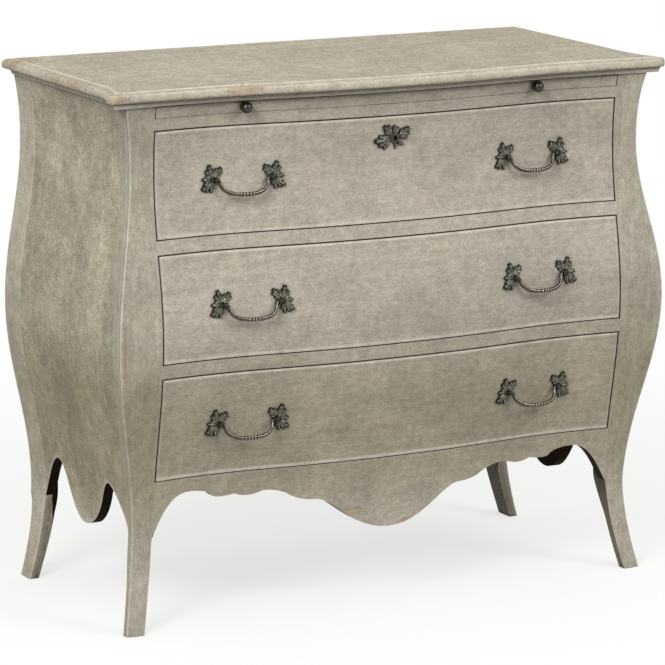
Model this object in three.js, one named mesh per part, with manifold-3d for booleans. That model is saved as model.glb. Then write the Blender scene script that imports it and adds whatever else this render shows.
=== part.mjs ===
import * as THREE from 'three';
import { mergeVertices } from 'three/addons/utils/BufferGeometryUtils.js';
import Module from 'manifold-3d';

// Bombe chest of three drawers with a brushing slide.
// Millimetres, +Z up, the front faces -Y, and +X is to the right seen from the front.
// While it is built, y = 0 is the back of the case, and depth is counted forwards from there.

// The chest as a whole
const overallHeight = 890;
const caseWidth = 953; // across the front corners at the waist
const caseDepth = 440; // from the back to the front corners at the waist
const rearInset = 4; // how much narrower each side is at the back
const ankleHeight = 155;
const kneeShares = [0.85, 1.5]; // of the ankle's height, where each leg turns into its post
const bellyHeight = 482;
const waistHeight = 755;

// How far the case swings out of its waist: at the foot, the ankle (inwards), the belly, the top
const cornerSwing = { kick: 15.5, pinch: 5.5, swell: 35.5, flare: 11.5 };
const frontSwing = { kick: 21, pinch: 4, swell: 38, flare: 11 };
const rearSwing = { kick: 13, pinch: 16, swell: 30, flare: 11 };
const kickPower = 1.65;
const flarePower = 2.3;

// Plan of the front and the sides
const hollowShare = 0.675; // of the half width, from the middle to the deepest line of each hollow
const crownRise = 20; // the middle in front of the hollows
const frontFlare = 15; // the corners in front of the hollows
const crownPower = 2.4;
const sideFlareLength = 75;

// Top
const topThickness = 17;
const topOverhang = 20; // of the nose beyond the case, at the back of each side
const topBackOverhang = 6;
const topCornerFlare = 19;
const topFlareLength = 95;
const topFrontOverhang = 22; // beyond the hollows of the front
const topCornerSetback = 13; // how much less the corners overhang to the front
const topCornerRadius = 16;
const topBackRadius = 5;
const topEdge = 16; // width of the moulded edge
const topFillet = 1.5;
const noseHeight = 5; // of the nose above the underside
const noseReturn = 3;
const mouldingHeight = 9;
const mouldingInset = 8.5;
const mouldingRun = 4.5;
const mouldingHollowShare = 0.7;
const topRoundShares = [[0.156, 0.785], [0.517, 0.96]]; // of the moulded edge, across and up
const topCornerTrim = 15; // degrees that each end of the corner's round stops short

// Posts and legs
const postWidth = 43; // at the waist
const postDepth = 45;
const arrisRadius = 1.5;
const arrisSteps = 2;
const legEasing = 7; // how far the corner falls back from the sweep of the front
const postEasing = 2.5;
const legSquareShare = 0.25; // of a post's taper towards the back that its leg has
const stripShare = 0.36; // of the post's side, from the arris to the step behind it
const stripEndShare = 0.39;
const stepDepth = 1.2;
const stepFade = 40;
const stepStartShare = 1.15; // of the ankle's height
const postWidenShares = [0.85, 1.1]; // of the ankle's height, between which the leg widens
const postDeepenShares = [0.5, 1.05];
const postFaceShares = [0, 0.4, 0.75]; // of the width of the post's face
const legWidth = 34.5;
const legDepth = 25;
const footWidth = 31;
const footDepth = 21.5;
const rearPostDepth = 62;
const rearLegWidth = 22;
const rearLegDepth = 58; // from the back of the case
const rearFootWidth = 17;
const rearFootDepth = 38;
const rearFootSetin = 19.5; // of the rear foot from the back of the case
const rearLegTop = 135;
const rearSetinPower = 0.4;
const rearWidenShares = [0.7, 1];
const footChamfer = 2;

// Rails, apron and panels
const railHeight = 23;
const slideRailHeight = 19.5;
const slideOpening = 21.5;
const apronTop = 248;
const railDepth = 60;
const apronThickness = 22;
const panelThickness = 18;
const backThickness = 8;
const backBottom = 214;
const glueLine = 0.2;

// Apron outline, measured down from the top of the apron
const archDrop = 24; // the arch beside each leg
const archShare = 0.847; // offsets from the middle are shares of half the opening
const cuspShare = 0.65;
const cuspDrop = 37;
const lobeDrop = 42;
const lobeOutset = 29;
const lobeInset = 21;
const innerArchShare = 0.51;
const innerArchDrop = 36;
const shoulderShare = 0.404;
const shoulderDrop = 53;
const ledgeShare = 0.32;
const ledgeDrop = 60;
const pendantDrop = 120.5;
const pendantShoulderShare = 0.75; // of the ledge's offset from the middle
const pendantTipShare = 0.5;

// Side pendant outline, on the depth of the case
const sideArchHeight = 225.5;
const sidePendantHeight = 135.5;
const sidePendantShare = 0.509; // of the depth, from the back to its middle
const sidePendantHalfShare = 0.224;
const sideArchHalf = 14;
const sideArchDrop = 26;
const sideArchFall = 27; // from the middle of an arch to where its inner side falls steepest
const sideArchReach = 28; // of the rear arch towards its leg
const sideFrontArchReach = 14;
const sideFrontEnd = 162;
const sideRearEnd = 146;
const sidePointHalf = 42;

// Drawers
const drawerCount = 3;
const drawerGap = 1.5; // shadow line round each drawer front
const runningGap = 0.3;
const frontThickness = 16; // at the deepest line of the hollows
const lipWidth = 6.5;
const lipDrop = 2;
const lipPower = 1.5;
const lipShares = [0, 0.25, 1];
const boxSideThickness = 12;
const boxBackThickness = 12;
const boxBottomThickness = 6;
const boxSideGap = 1.2;
const boxHeadroom = 14;
const bottomLift = 8;
const grooveDepth = 5;
const boxBackGap = 12; // behind the drawer box
const runnerWidth = 38;
const runnerThickness = 20;
const guideWidth = 9;
const guideHeight = 16;

// Brushing slide
const slideLength = 300;
const slideThickness = 19;
const slideFrontDepth = 24;
const knobShare = 0.631; // of half the opening, from the middle
const knobRadius = 9.5;
const knobNeck = 4;
const knobFlange = 6;
const knobFlangeHeight = 1.2;
const knobReach = 21;

// Handles
const handleShare = 0.6265; // of half the opening, from the middle
const pivotSpacing = 98;
const pivotStandoff = 5.9;
const pinRadius = 1.9;
const pinPlay = 0.3;
const pinLength = 9;
const earRadius = 4.4;
const earWidth = 5.5;
const bailDrop = 23.4;
const bailBow = 13.4; // of the grip in front of the pivots
const bailBowPower = 2;
const bailShoulder = 8;
const bailRadius = 2.5;
const bailGripRadius = 3.8;
const bailBendShares = [[0.89, 0.63], [0.68, 0.865], [0.35, 0.98]]; // of the half span and of the drop
const leafReach = 30; // of the longest leaf from the pivot
const leafThickness = 2.2;
const leafSeat = 0.75; // clearance to the hollow of the front
const stemRadius = 4;
const stemHeight = 3;
const stemTaperShare = 0.8;

// Escutcheon and lock
const keyHeight = 50; // of the keyhole above the middle of the top drawer
const escutcheonReach = 38; // of the longest leaf from the keyhole
const escutcheonBoss = 8.6;
const keyholeRadius = 2.8;
const keyholeWidth = 3;
const keyholeLength = 9.6;
const lockWidth = 64;
const lockHeight = 42;
const lockThickness = 12;

// Fineness of the curved faces
const shaftSteps = 14;
const kneeSteps = 5;
const plankSteps = 24;
const panelSteps = 5;
const arcSteps = 3;
const frontSteps = 4;
const curveSteps = 5;
const boreSteps = 4;
const barSides = 6;
const stemSides = 8;
const knobSides = 10;
const pinRings = 3; // rings of the bail's path that lie in its ear
const overrun = 20; // of cutting shapes beyond what they cut

const paint = { color: 0xb2a999, roughness: 0.78, metalness: 0 };
const sidePaint = { color: 0xa9a28c, roughness: 0.8, metalness: 0 };
const topPaint = { color: 0xbdb29b, roughness: 0.7, metalness: 0 };
const bareWood = { color: 0xb89468, roughness: 0.85, metalness: 0 };
const bronze = { color: 0x4a4137, roughness: 0.5, metalness: 0.9 };
const steel = { color: 0x8a8780, roughness: 0.45, metalness: 1 };

const caseTop = overallHeight - topThickness - mouldingHeight;
const [kneeBottom, kneeTop] = kneeShares.map((share) => ankleHeight * share);
const openingHalf = caseWidth / 2 - postWidth;
const hollowOffset = caseWidth / 2 * hollowShare;
const drawerOpening = (caseTop - slideOpening - slideRailHeight
  - railHeight * (drawerCount - 1) - apronTop) / drawerCount;

const wasm = await Module();
wasm.setup();
const chest = new THREE.Group();

// Shapes of the case

function blend(from, to, share) {
  return from + (to - from) * (1 - Math.cos(Math.PI * share)) / 2;
}

function clampShare(value) {
  return Math.min(1, Math.max(0, value));
}

// Offset of an upright line of the case from its waist
function swing(height, { kick, pinch, swell, flare }) {
  if (height < ankleHeight) {
    return -pinch + (kick + pinch) * (1 - height / ankleHeight) ** kickPower;
  }
  if (height < bellyHeight) {
    return blend(-pinch, swell, (height - ankleHeight) / (bellyHeight - ankleHeight));
  }
  if (height < waistHeight) {
    return blend(swell, 0, (height - bellyHeight) / (waistHeight - bellyHeight));
  }
  return flare * ((height - waistHeight) / (caseTop - waistHeight)) ** flarePower;
}

function cornerHalfWidth(height) {
  return caseWidth / 2 + swing(height, cornerSwing);
}

function cornerDepth(height) {
  return caseDepth + swing(height, frontSwing);
}

function rearHalfWidth(height) {
  return caseWidth / 2 - rearInset + swing(height, rearSwing);
}

// Half width of the case at a depth from the back
function sideFace(depth, height) {
  const start = cornerDepth(height) - sideFlareLength;
  const share = clampShare((depth - start) / sideFlareLength) ** 2;
  const rear = rearHalfWidth(height);
  return rear + (cornerHalfWidth(height) - rear) * share;
}

// A serpentine line: a crown in the middle, a hollow to each side and the corners forward again
function serpentine(x, corner, hollowDepth, flare) {
  const side = Math.abs(x);
  if (side < hollowOffset) {
    return hollowDepth + crownRise * (1 - (side / hollowOffset) ** crownPower) ** 2;
  }
  return hollowDepth + flare * ((side - hollowOffset) / (corner - hollowOffset)) ** 2;
}

// Depth of the front face, from the back
function frontFace(x, height) {
  const hollowDepth = cornerDepth(height) - frontFlare;
  return serpentine(x, cornerHalfWidth(height), hollowDepth, frontFlare);
}

// Solids

function steps(from, to, count) {
  return Array.from({ length: count + 1 }, (_, i) => from + (to - from) * i / count);
}

// Points of an arc, from one angle to another in degrees
function arc([x, y], radius, from, to, count) {
  return steps(from, to, count).map((angle) => {
    const turn = THREE.MathUtils.degToRad(angle);
    return [x + radius * Math.cos(turn), y + radius * Math.sin(turn)];
  });
}

function signedVolume(points, faces) {
  let volume = 0;
  for (let i = 0; i < faces.length; i += 3) {
    const [a, b, c] = [points[faces[i]], points[faces[i + 1]], points[faces[i + 2]]];
    volume += a.clone().cross(b).dot(c) / 6;
  }
  return volume;
}

// A closed body from its points and triangles, turned so that its faces point out
function closedBody(points, faces) {
  const outward = signedVolume(points, faces) > 0;
  const order = outward ? faces : faces.slice().reverse();
  const geometry = new THREE.BufferGeometry().setFromPoints(points);
  geometry.setIndex(order);
  return geometry;
}

// Triangles between the rings of a loft
function ringSides(rings) {
  const count = rings[0].length;
  const faces = [];
  for (let r = 0; r + 1 < rings.length; r += 1) {
    for (let i = 0; i < count; i += 1) {
      const a = r * count + i;
      const b = r * count + (i + 1) % count;
      faces.push(a, b, b + count, a, b + count, a + count);
    }
  }
  return faces;
}

// A body through rings of points, capped at both ends in the plane of two axes
function loft(rings, [across, up]) {
  const count = rings[0].length;
  const faces = ringSides(rings);
  for (const [ring, forward] of [[0, false], [rings.length - 1, true]]) {
    const outline = rings[ring].map((p) => new THREE.Vector2(p[across], p[up]));
    const clockwise = THREE.ShapeUtils.isClockWise(outline);
    for (const face of THREE.ShapeUtils.triangulateShape(outline, [])) {
      const follows = THREE.ShapeUtils.isClockWise(face.map((i) => outline[i])) === clockwise;
      const order = follows === forward ? face : face.slice().reverse();
      faces.push(...order.map((i) => ring * count + i));
    }
  }
  return closedBody(rings.flat(), faces);
}

// A bent board through rings of points, each ring one face's line out and the other face's back
function board(rings) {
  const count = rings[0].length;
  const faces = ringSides(rings);
  for (const [ring, forward] of [[0, false], [rings.length - 1, true]]) {
    for (let i = 0; i + 1 < count / 2; i += 1) {
      const [a, b, c, d] = [i, i + 1, count - 2 - i, count - 1 - i].map((k) => ring * count + k);
      faces.push(...(forward ? [a, b, c, a, c, d] : [c, b, a, d, c, a]));
    }
  }
  return closedBody(rings.flat(), faces);
}

function vector(x, y, z) {
  return new THREE.Vector3(x, y, z);
}

function box(x0, x1, y0, y1, z0, z1) {
  const geometry = new THREE.BoxGeometry(x1 - x0, y1 - y0, z1 - z0);
  return geometry.translate((x0 + x1) / 2, (y0 + y1) / 2, (z0 + z1) / 2);
}

function toSolid(geometry) {
  const bare = geometry.clone();
  bare.deleteAttribute('normal');
  bare.deleteAttribute('uv');
  const merged = mergeVertices(bare);
  return new wasm.Manifold(new wasm.Mesh({
    numProp: 3,
    vertProperties: new Float32Array(merged.attributes.position.array),
    triVerts: new Uint32Array(merged.index.array),
  }));
}

function toGeometry(solid) {
  const mesh = solid.getMesh();
  const geometry = new THREE.BufferGeometry();
  geometry.setAttribute('position', new THREE.BufferAttribute(mesh.vertProperties, 3));
  geometry.setIndex(new THREE.BufferAttribute(mesh.triVerts, 1));
  return geometry;
}

function join(...geometries) {
  return toGeometry(geometries.map(toSolid).reduce((all, next) => all.add(next)));
}

function cut(geometry, ...tools) {
  return toGeometry(tools.map(toSolid).reduce((left, tool) => left.subtract(tool), toSolid(geometry)));
}

function keepInside(geometry, mould) {
  return toGeometry(toSolid(geometry).intersect(toSolid(mould)));
}

function mirrored(geometry) {
  const copy = geometry.clone();
  const position = copy.attributes.position;
  for (let i = 0; i < position.count; i += 1) {
    position.setX(i, -position.getX(i));
  }
  copy.setIndex(Array.from(copy.index.array).reverse());
  return copy;
}

function add(name, geometry, look) {
  const mesh = new THREE.Mesh(geometry, new THREE.MeshStandardMaterial(look));
  mesh.name = name;
  chest.add(mesh);
  return mesh;
}

function addPair(name, rightGeometry, look) {
  add(`${name}_right`, rightGeometry, look);
  add(`${name}_left`, mirrored(rightGeometry), look);
}

// Top

// Plan of the top, drawn in by an inset; the corners keep a round of their own
function topOutline(inset) {
  const back = topBackOverhang - inset;
  const rear = rearHalfWidth(caseTop) + topOverhang - inset;
  const corner = rear + topCornerFlare;
  const hollowDepth = cornerDepth(caseTop) - frontFlare + topFrontOverhang - inset;
  const flare = frontFlare - topCornerSetback + inset / 2;
  const frontDepth = hollowDepth + flare;
  const radius = Math.max(topCornerRadius - inset, topBackRadius);
  const backRound = [rear - topBackRadius, back - topBackRadius];
  const right = arc(backRound, topBackRadius, 90, 0, arcSteps);
  const flareStart = frontDepth - topFlareLength;
  right.push([rear, -flareStart / 2]);
  for (const share of steps(0, 1, frontSteps)) {
    const depth = flareStart + (topFlareLength - radius) * share;
    const swept = ((depth - flareStart) / topFlareLength) ** 2;
    right.push([rear + topCornerFlare * swept, -depth]);
  }
  const cornerRound = [corner - radius, radius - frontDepth];
  right.push(...arc(cornerRound, radius, -topCornerTrim, topCornerTrim - 90, arcSteps));
  for (const x of steps(corner - radius, 0, plankSteps / 2)) {
    right.push([x, -serpentine(x, corner, hollowDepth, flare)]);
  }
  const left = right.slice(0, -1).reverse().map(([x, y]) => [-x, y]);
  return [...right, ...left];
}

function outlineRing(inset, height) {
  return topOutline(inset).map(([x, y]) => vector(x, y, height));
}

function topBoard() {
  const underside = overallHeight - topThickness;
  const shoulder = overallHeight - topFillet;
  const nose = underside + noseHeight;
  const rings = [
    outlineRing(mouldingInset + mouldingRun, underside),
    outlineRing(noseReturn, underside),
    outlineRing(0, nose),
  ];
  for (const [across, up] of topRoundShares) {
    rings.push(outlineRing(topEdge * across, nose + (shoulder - nose) * up));
  }
  rings.push(outlineRing(topEdge - topFillet, shoulder));
  rings.push(outlineRing(topEdge, overallHeight));
  return loft(rings, ['x', 'y']);
}

// Board that closes the case under the top, with a hollow moulding worked on its edge
function caseTopBoard() {
  const top = overallHeight - topThickness - glueLine;
  const bottom = caseTop + glueLine;
  const middle = (top + bottom) / 2;
  const rings = [
    outlineRing(mouldingInset + mouldingRun, bottom),
    outlineRing(mouldingInset + mouldingRun * mouldingHollowShare, middle),
    outlineRing(mouldingInset, top),
  ];
  return loft(rings, ['x', 'y']);
}

// Posts and legs

// How far a leg has turned into its post, between two shares of the ankle's height
function kneeShare(height, [from, to]) {
  return clampShare((height / ankleHeight - from) / (to - from));
}

function frontPostSection(height) {
  const halfWidth = cornerHalfWidth(height);
  const depth = cornerDepth(height);
  const legShare = clampShare(height / ankleHeight);
  const leg = blend(footWidth, legWidth, legShare);
  const inner = blend(halfWidth - leg, openingHalf, kneeShare(height, postWidenShares));
  const legBack = footDepth + (legDepth - footDepth) * legShare;
  const back = blend(legBack, postDepth, kneeShare(height, postDeepenShares));
  const backDepth = depth - back;
  const easing = blend(legEasing, postEasing, kneeShare(height, kneeShares));
  const edge = halfWidth - arrisRadius;
  const face = (share) => {
    const x = inner + (edge - inner) * share;
    return [x, frontFace(x, height) - easing * share ** 2];
  };
  const arrisDepth = face(1)[1] - arrisRadius;
  const taper = blend(legSquareShare, 1, kneeShare(height, postDeepenShares));
  const side = (share, inward) => {
    const at = arrisDepth + (backDepth - arrisDepth) * share;
    const swept = sideFace(at + (depth - arrisDepth) * (1 - share), height);
    return [halfWidth - (halfWidth - swept) * taper - inward, at];
  };
  const step = stepDepth * clampShare((height - ankleHeight * stepStartShare) / stepFade);
  const section = [[inner, backDepth], ...postFaceShares.map(face)];
  section.push(...arc([edge, arrisDepth], arrisRadius, 90, 0, arrisSteps));
  section.push(side(stripShare, 0), side(stripEndShare, step), side(1, 0));
  return section.map(([x, y]) => vector(x, -y, height));
}

function postHeights() {
  const leg = steps(0, kneeBottom, kneeSteps);
  const knee = steps(kneeBottom, kneeTop, kneeSteps);
  const shaft = steps(kneeTop, caseTop, shaftSteps);
  return [...leg, ...knee.slice(1), ...shaft.slice(1)];
}

function frontPost() {
  return loft(postHeights().map(frontPostSection), ['x', 'y']);
}

function rearPostSection(height) {
  const legShare = clampShare(height / rearLegTop);
  const knee = kneeShare(height, rearWidenShares);
  const leg = blend(rearFootWidth, rearLegWidth, legShare);
  const back = rearFootSetin * (1 - legShare) ** rearSetinPower;
  const legFront = blend(rearFootSetin + rearFootDepth, rearLegDepth, legShare);
  const front = blend(legFront, rearPostDepth, knee);
  const outer = (depth) => sideFace(depth, height);
  const inner = blend(outer(back) - leg, openingHalf, knee);
  const section = [[inner, back], [inner, front], [outer(front) - footChamfer, front]];
  section.push([outer(front), front - footChamfer], [outer(back), back + footChamfer]);
  section.push([outer(back) - footChamfer, back]);
  return section.map(([x, y]) => vector(x, -y, height));
}

function rearPost() {
  return loft(postHeights().map(rearPostSection), ['x', 'y']);
}

// Sides and back

// Outline of the lower edge of each side: two arches with a hanging pendant between them
function sideOutline() {
  const bottom = sidePendantHeight;
  const middle = caseDepth * sidePendantShare;
  const half = caseDepth * sidePendantHalfShare;
  const rear = rearPostDepth - overrun;
  const front = caseDepth + overrun;
  const rearArch = middle - half;
  const frontArch = middle + half;
  const shape = new THREE.Shape();
  shape.moveTo(rear, caseTop + overrun);
  shape.lineTo(rear, sideRearEnd);
  shape.lineTo(rearPostDepth, sideRearEnd);
  shape.quadraticCurveTo(rearArch - sideArchReach, sideArchHeight, rearArch, sideArchHeight);
  shape.quadraticCurveTo(rearArch + sideArchHalf, sideArchHeight,
    rearArch + sideArchFall, sideArchHeight - sideArchDrop);
  shape.quadraticCurveTo(middle - sidePointHalf, bottom, middle, bottom);
  shape.quadraticCurveTo(middle + sidePointHalf, bottom,
    frontArch - sideArchFall, sideArchHeight - sideArchDrop);
  shape.quadraticCurveTo(frontArch - sideArchHalf, sideArchHeight, frontArch, sideArchHeight);
  shape.quadraticCurveTo(frontArch + sideFrontArchReach, sideArchHeight,
    cornerDepth(ankleHeight) - postDepth, sideFrontEnd);
  shape.lineTo(front, sideFrontEnd);
  shape.lineTo(front, caseTop + overrun);
  return shape;
}

function sidePanel() {
  const heights = [sidePendantHeight - arrisRadius, ...postHeights().filter((h) => h > sidePendantHeight)];
  const rings = steps(0, 1, panelSteps).map((share) => {
    const place = (height, inward) => {
      const start = rearPostDepth + glueLine;
      const end = cornerDepth(height) - postDepth - glueLine;
      const depth = start + (end - start) * share;
      return vector(sideFace(depth, height) - inward, -depth, height);
    };
    const outer = heights.map((height) => place(height, 0));
    const inner = heights.map((height) => place(height, panelThickness));
    return [...outer, ...inner.reverse()];
  });
  const mould = new THREE.ExtrudeGeometry(sideOutline(), { depth: caseWidth, bevelEnabled: false });
  const [forwards, up, left] = [vector(0, -1, 0), vector(0, 0, 1), vector(-1, 0, 0)];
  mould.applyMatrix4(new THREE.Matrix4().makeBasis(forwards, up, left)).translate(caseWidth, 0, 0);
  return keepInside(board(rings), mould);
}

function backPanel() {
  const half = openingHalf - glueLine;
  return box(-half, half, -backThickness - glueLine, -glueLine, backBottom, caseTop);
}

// Rails and apron

// Depth of the back of a rail, from its top
function railBack(top) {
  return frontFace(hollowOffset, top) - railDepth;
}

function rail(bottom, top) {
  const half = openingHalf - glueLine;
  const back = railBack(top);
  const rings = steps(-half, half, plankSteps).map((x) => [
    vector(x, -back, bottom),
    ...steps(bottom, top, 2).map((height) => vector(x, -frontFace(x, height), height)),
    vector(x, -back, top),
  ]);
  return loft(rings, ['y', 'z']);
}

// Half of the scalloped lower edge of the apron, from its end to the middle
function apronEdge(shape) {
  const at = (drop) => apronTop - drop;
  const arch = openingHalf * archShare;
  const cusp = openingHalf * cuspShare;
  const innerArch = openingHalf * innerArchShare;
  const shoulder = openingHalf * shoulderShare;
  const ledge = openingHalf * ledgeShare;
  const lobeOuter = cusp + lobeOutset;
  const lobeInner = cusp - lobeInset;
  shape.lineTo(openingHalf, ankleHeight);
  shape.bezierCurveTo(openingHalf - archDrop, at(lobeDrop), arch + archDrop, at(archDrop),
    arch, at(archDrop));
  shape.quadraticCurveTo(lobeOuter + lobeInset, at(archDrop), lobeOuter + lobeInset / 2, at(cuspDrop));
  shape.quadraticCurveTo(lobeOuter, at(lobeDrop), cusp, at(cuspDrop));
  shape.quadraticCurveTo(lobeInner, at(lobeDrop + lobeInset / 4),
    innerArch + lobeInset / 2, at(innerArchDrop));
  shape.quadraticCurveTo(innerArch - lobeInset, at(innerArchDrop), shoulder, at(shoulderDrop));
  shape.quadraticCurveTo((shoulder + ledge) / 2, at(ledgeDrop), ledge, at(ledgeDrop));
  shape.bezierCurveTo(ledge * pendantShoulderShare, at(ledgeDrop),
    ledge * pendantTipShare, at(pendantDrop), 0, at(pendantDrop));
}

function apronOutline() {
  const right = new THREE.Shape();
  right.moveTo(openingHalf, apronTop + overrun);
  apronEdge(right);
  const half = right.getPoints(curveSteps);
  const left = half.slice(0, -1).reverse().map((p) => new THREE.Vector2(-p.x, p.y));
  return new THREE.Shape([...half, ...left]);
}

function apron() {
  const half = openingHalf - glueLine;
  const heights = steps(apronTop - pendantDrop - overrun / 2, apronTop, frontSteps);
  const rings = steps(-half, half, plankSteps).map((x) => [
    ...heights.map((height) => vector(x, -frontFace(x, height), height)),
    ...heights.slice().reverse().map((height) => vector(x, apronThickness - frontFace(x, height), height)),
  ]);
  const depth = caseDepth + frontSwing.swell + crownRise + overrun;
  const mould = new THREE.ExtrudeGeometry(apronOutline(), { depth, bevelEnabled: false });
  mould.rotateX(Math.PI / 2);
  return keepInside(board(rings), mould);
}

// Drawers

function drawerBottomHeight(index) {
  return apronTop + (drawerCount - 1 - index) * (drawerOpening + railHeight);
}

// Distance by which the thumbnail edge falls behind the face
function edgeDrop(distance) {
  const share = clampShare(distance / lipWidth);
  return lipDrop * (1 - share) ** lipPower;
}

function edgeStations(from, to, count) {
  const lip = lipShares.map((share) => share * lipWidth);
  const inner = steps(from + lipWidth, to - lipWidth, count).slice(1, -1);
  return [...lip.map((d) => from + d), ...inner, ...lip.reverse().map((d) => to - d)];
}

function drawerFrontBack(bottom, top) {
  const depths = [bottom, top].map((height) => frontFace(hollowOffset, height));
  return Math.min(...depths) - frontThickness - lipDrop;
}

function drawerFront(bottom, top) {
  const half = openingHalf - drawerGap;
  const back = drawerFrontBack(bottom, top);
  const heights = edgeStations(bottom, top, frontSteps);
  const rings = edgeStations(-half, half, plankSteps).map((x) => [
    vector(x, -back, bottom),
    ...heights.map((height) => {
      const distance = Math.min(x + half, half - x, height - bottom, top - height);
      return vector(x, edgeDrop(distance) - frontFace(x, height), height);
    }),
    vector(x, -back, top),
  ]);
  return loft(rings, ['y', 'z']);
}

function addDrawer(index) {
  const name = `drawer_${index + 1}`;
  const floor = drawerBottomHeight(index);
  const bottom = floor + drawerGap;
  const top = floor + drawerOpening - drawerGap;
  const seat = floor + runningGap;
  const sideTop = floor + drawerOpening - boxHeadroom;
  const outer = openingHalf - boxSideGap;
  const inner = outer - boxSideThickness;
  const front = -drawerFrontBack(bottom, top) + glueLine;
  const rear = -backThickness - boxBackGap;
  const panelLow = seat + bottomLift;
  const panelHigh = panelLow + boxBottomThickness;
  const face = drawerFront(bottom, top);
  add(`${name}_front`, index === 0 ? cut(face, keyway()) : face, paint);
  const groove = box(inner - overrun, inner + grooveDepth, front - overrun, rear + overrun,
    panelLow - glueLine, panelHigh + glueLine);
  const side = box(inner, outer, front, rear, seat, sideTop);
  addPair(`${name}_side`, cut(side, groove), bareWood);
  const backFace = rear - boxBackThickness;
  add(`${name}_back`, box(-inner + glueLine, inner - glueLine, backFace, rear,
    panelHigh + glueLine, sideTop), bareWood);
  add(`${name}_bottom`, box(-inner - grooveDepth + glueLine, inner + grooveDepth - glueLine,
    front + glueLine, rear, panelLow, panelHigh), bareWood);
}

// Depth of the back of the apron where a runner meets it
function apronBack(height) {
  return frontFace(openingHalf - runnerWidth, height) - apronThickness;
}

function addRunners(name, top, frontDepth) {
  const bottom = top - runnerThickness;
  const front = glueLine - frontDepth;
  const rear = -backThickness - glueLine * 2;
  const inner = openingHalf - runnerWidth;
  const base = box(inner, openingHalf - glueLine, front, rear, bottom, top);
  const guideFront = postDepth - cornerDepth(bottom) + glueLine;
  const guide = box(openingHalf - overrun, openingHalf + guideWidth, Math.max(front, guideFront),
    -rearPostDepth - glueLine, bottom, top);
  const fence = box(openingHalf, openingHalf + guideWidth, Math.max(front, guideFront),
    -rearPostDepth - glueLine, bottom, top + guideHeight);
  addPair(name, join(base, guide, fence), bareWood);
}

// Brushing slide

function slideBottomHeight() {
  return caseTop - slideOpening;
}

function addSlide() {
  const bottom = slideBottomHeight() + runningGap;
  const top = bottom + slideThickness;
  const half = openingHalf - boxSideGap;
  const joint = frontFace(hollowOffset, bottom) - slideFrontDepth;
  const rings = steps(-half, half, plankSteps).map((x) => [
    vector(x, -joint, bottom),
    vector(x, -frontFace(x, bottom), bottom),
    vector(x, -frontFace(x, top), top),
    vector(x, -joint, top),
  ]);
  const face = loft(rings, ['y', 'z']);
  add('slide_front', face, paint);
  add('slide_board', box(-half, half, glueLine - joint, slideLength - joint, bottom, top), paint);
  for (const [name, side] of [['slide_knob_right', 1], ['slide_knob_left', -1]]) {
    const middle = (bottom + top) / 2;
    const offset = openingHalf * knobShare;
    const knob = knobShape().translate(side * offset, -frontFace(offset, middle), middle);
    add(name, cut(knob, face.clone().translate(0, -glueLine, 0)), bronze);
  }
}

function knobShape() {
  const neckTurn = THREE.MathUtils.radToDeg(Math.acos(knobNeck / knobRadius));
  const ball = arc([0, knobReach - knobRadius], knobRadius, -neckTurn, 90, curveSteps);
  const profile = [[0, -knobNeck], [knobFlange, -knobNeck], [knobFlange, knobFlangeHeight],
    [knobNeck, knobFlangeHeight * 2], ...ball.slice(0, -1), [0, knobReach]];
  const points = profile.map(([radius, reach]) => new THREE.Vector2(radius, reach));
  return weld(new THREE.LatheGeometry(points, knobSides).rotateX(Math.PI));
}

function weld(geometry) {
  return toGeometry(toSolid(geometry));
}

// Vine leaves

// Outline of the leaves round a pivot, away from the bail and up, as shares of their reach
const leafEdgeShares = [
  [-0.1, -0.27], [-0.13, 0.02], [-0.3, 0.3], [-0.5, 0.52], [-0.4, 0.6], [-0.44, 0.79], [-0.28, 0.67],
  [-0.15, 0.77], [-0.04, 0.52], [0.05, 0.4], [0.14, 0.6], [0.3, 0.7], [0.48, 0.9], [0.5, 0.7], [0.66, 0.6],
  [0.5, 0.37], [0.47, 0.23], [0.67, 0.2], [0.86, 0.06], [0.66, -0.1], [0.58, -0.2], [0.8, -0.38],
  [0.96, -0.59], [0.77, -0.58], [0.67, -0.71], [0.44, -0.57], [0.14, -0.75], [0.1, -0.43],
];

// Outline of the leaves round the keyhole, to the right and up, as shares of their reach
const escutcheonEdgeShares = [
  [0.03, -0.47], [0.14, -0.27], [0.28, -0.32], [0.44, -0.29], [0.47, -0.14], [0.57, -0.08], [0.64, 0.05],
  [0.7, 0.24], [0.67, 0.42], [0.47, 0.36], [0.33, 0.28], [0.19, 0.4], [0.07, 0.51], [-0.12, 0.51],
  [-0.2, 0.33], [-0.36, 0.55], [-0.58, 0.54], [-0.5, 0.33], [-0.56, 0.15], [-0.8, 0.09], [-1, -0.1],
  [-0.77, -0.2], [-0.67, -0.37], [-0.53, -0.51], [-0.37, -0.27], [-0.13, -0.24],
];

// A flat casting from the shares of its outline
function casting(edgeShares, reach, side) {
  const outline = edgeShares.map(([out, up]) => new THREE.Vector2(side * out * reach, up * reach));
  return new THREE.ExtrudeGeometry(new THREE.Shape(outline), { depth: leafThickness, bevelEnabled: false });
}

// Boss in the middle of the leaves
function stem(radius) {
  const boss = new THREE.CylinderGeometry(radius * stemTaperShare, radius, stemHeight, stemSides);
  return boss.rotateX(Math.PI / 2).translate(0, 0, stemHeight / 2);
}

// Lays a flat casting, drawn in x and y with its back at z = 0, on the curved front
function drape(geometry, x, height) {
  const laid = geometry.clone();
  const position = laid.attributes.position;
  for (let i = 0; i < position.count; i += 1) {
    const across = x + position.getX(i);
    const up = height + position.getY(i);
    const depth = frontFace(across, up) + leafSeat + position.getZ(i);
    position.setXYZ(i, across, -depth, up);
  }
  return laid;
}

// Handles

function leafCluster(side) {
  return join(stem(stemRadius), casting(leafEdgeShares, leafReach, side));
}

// The two pivots of a handle, each as far from the front as the other
function pivots(x, height) {
  return [-1, 1].map((side) => {
    const at = x + side * pivotSpacing / 2;
    return vector(at, -frontFace(at, height) - pivotStandoff, height);
  });
}

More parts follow.
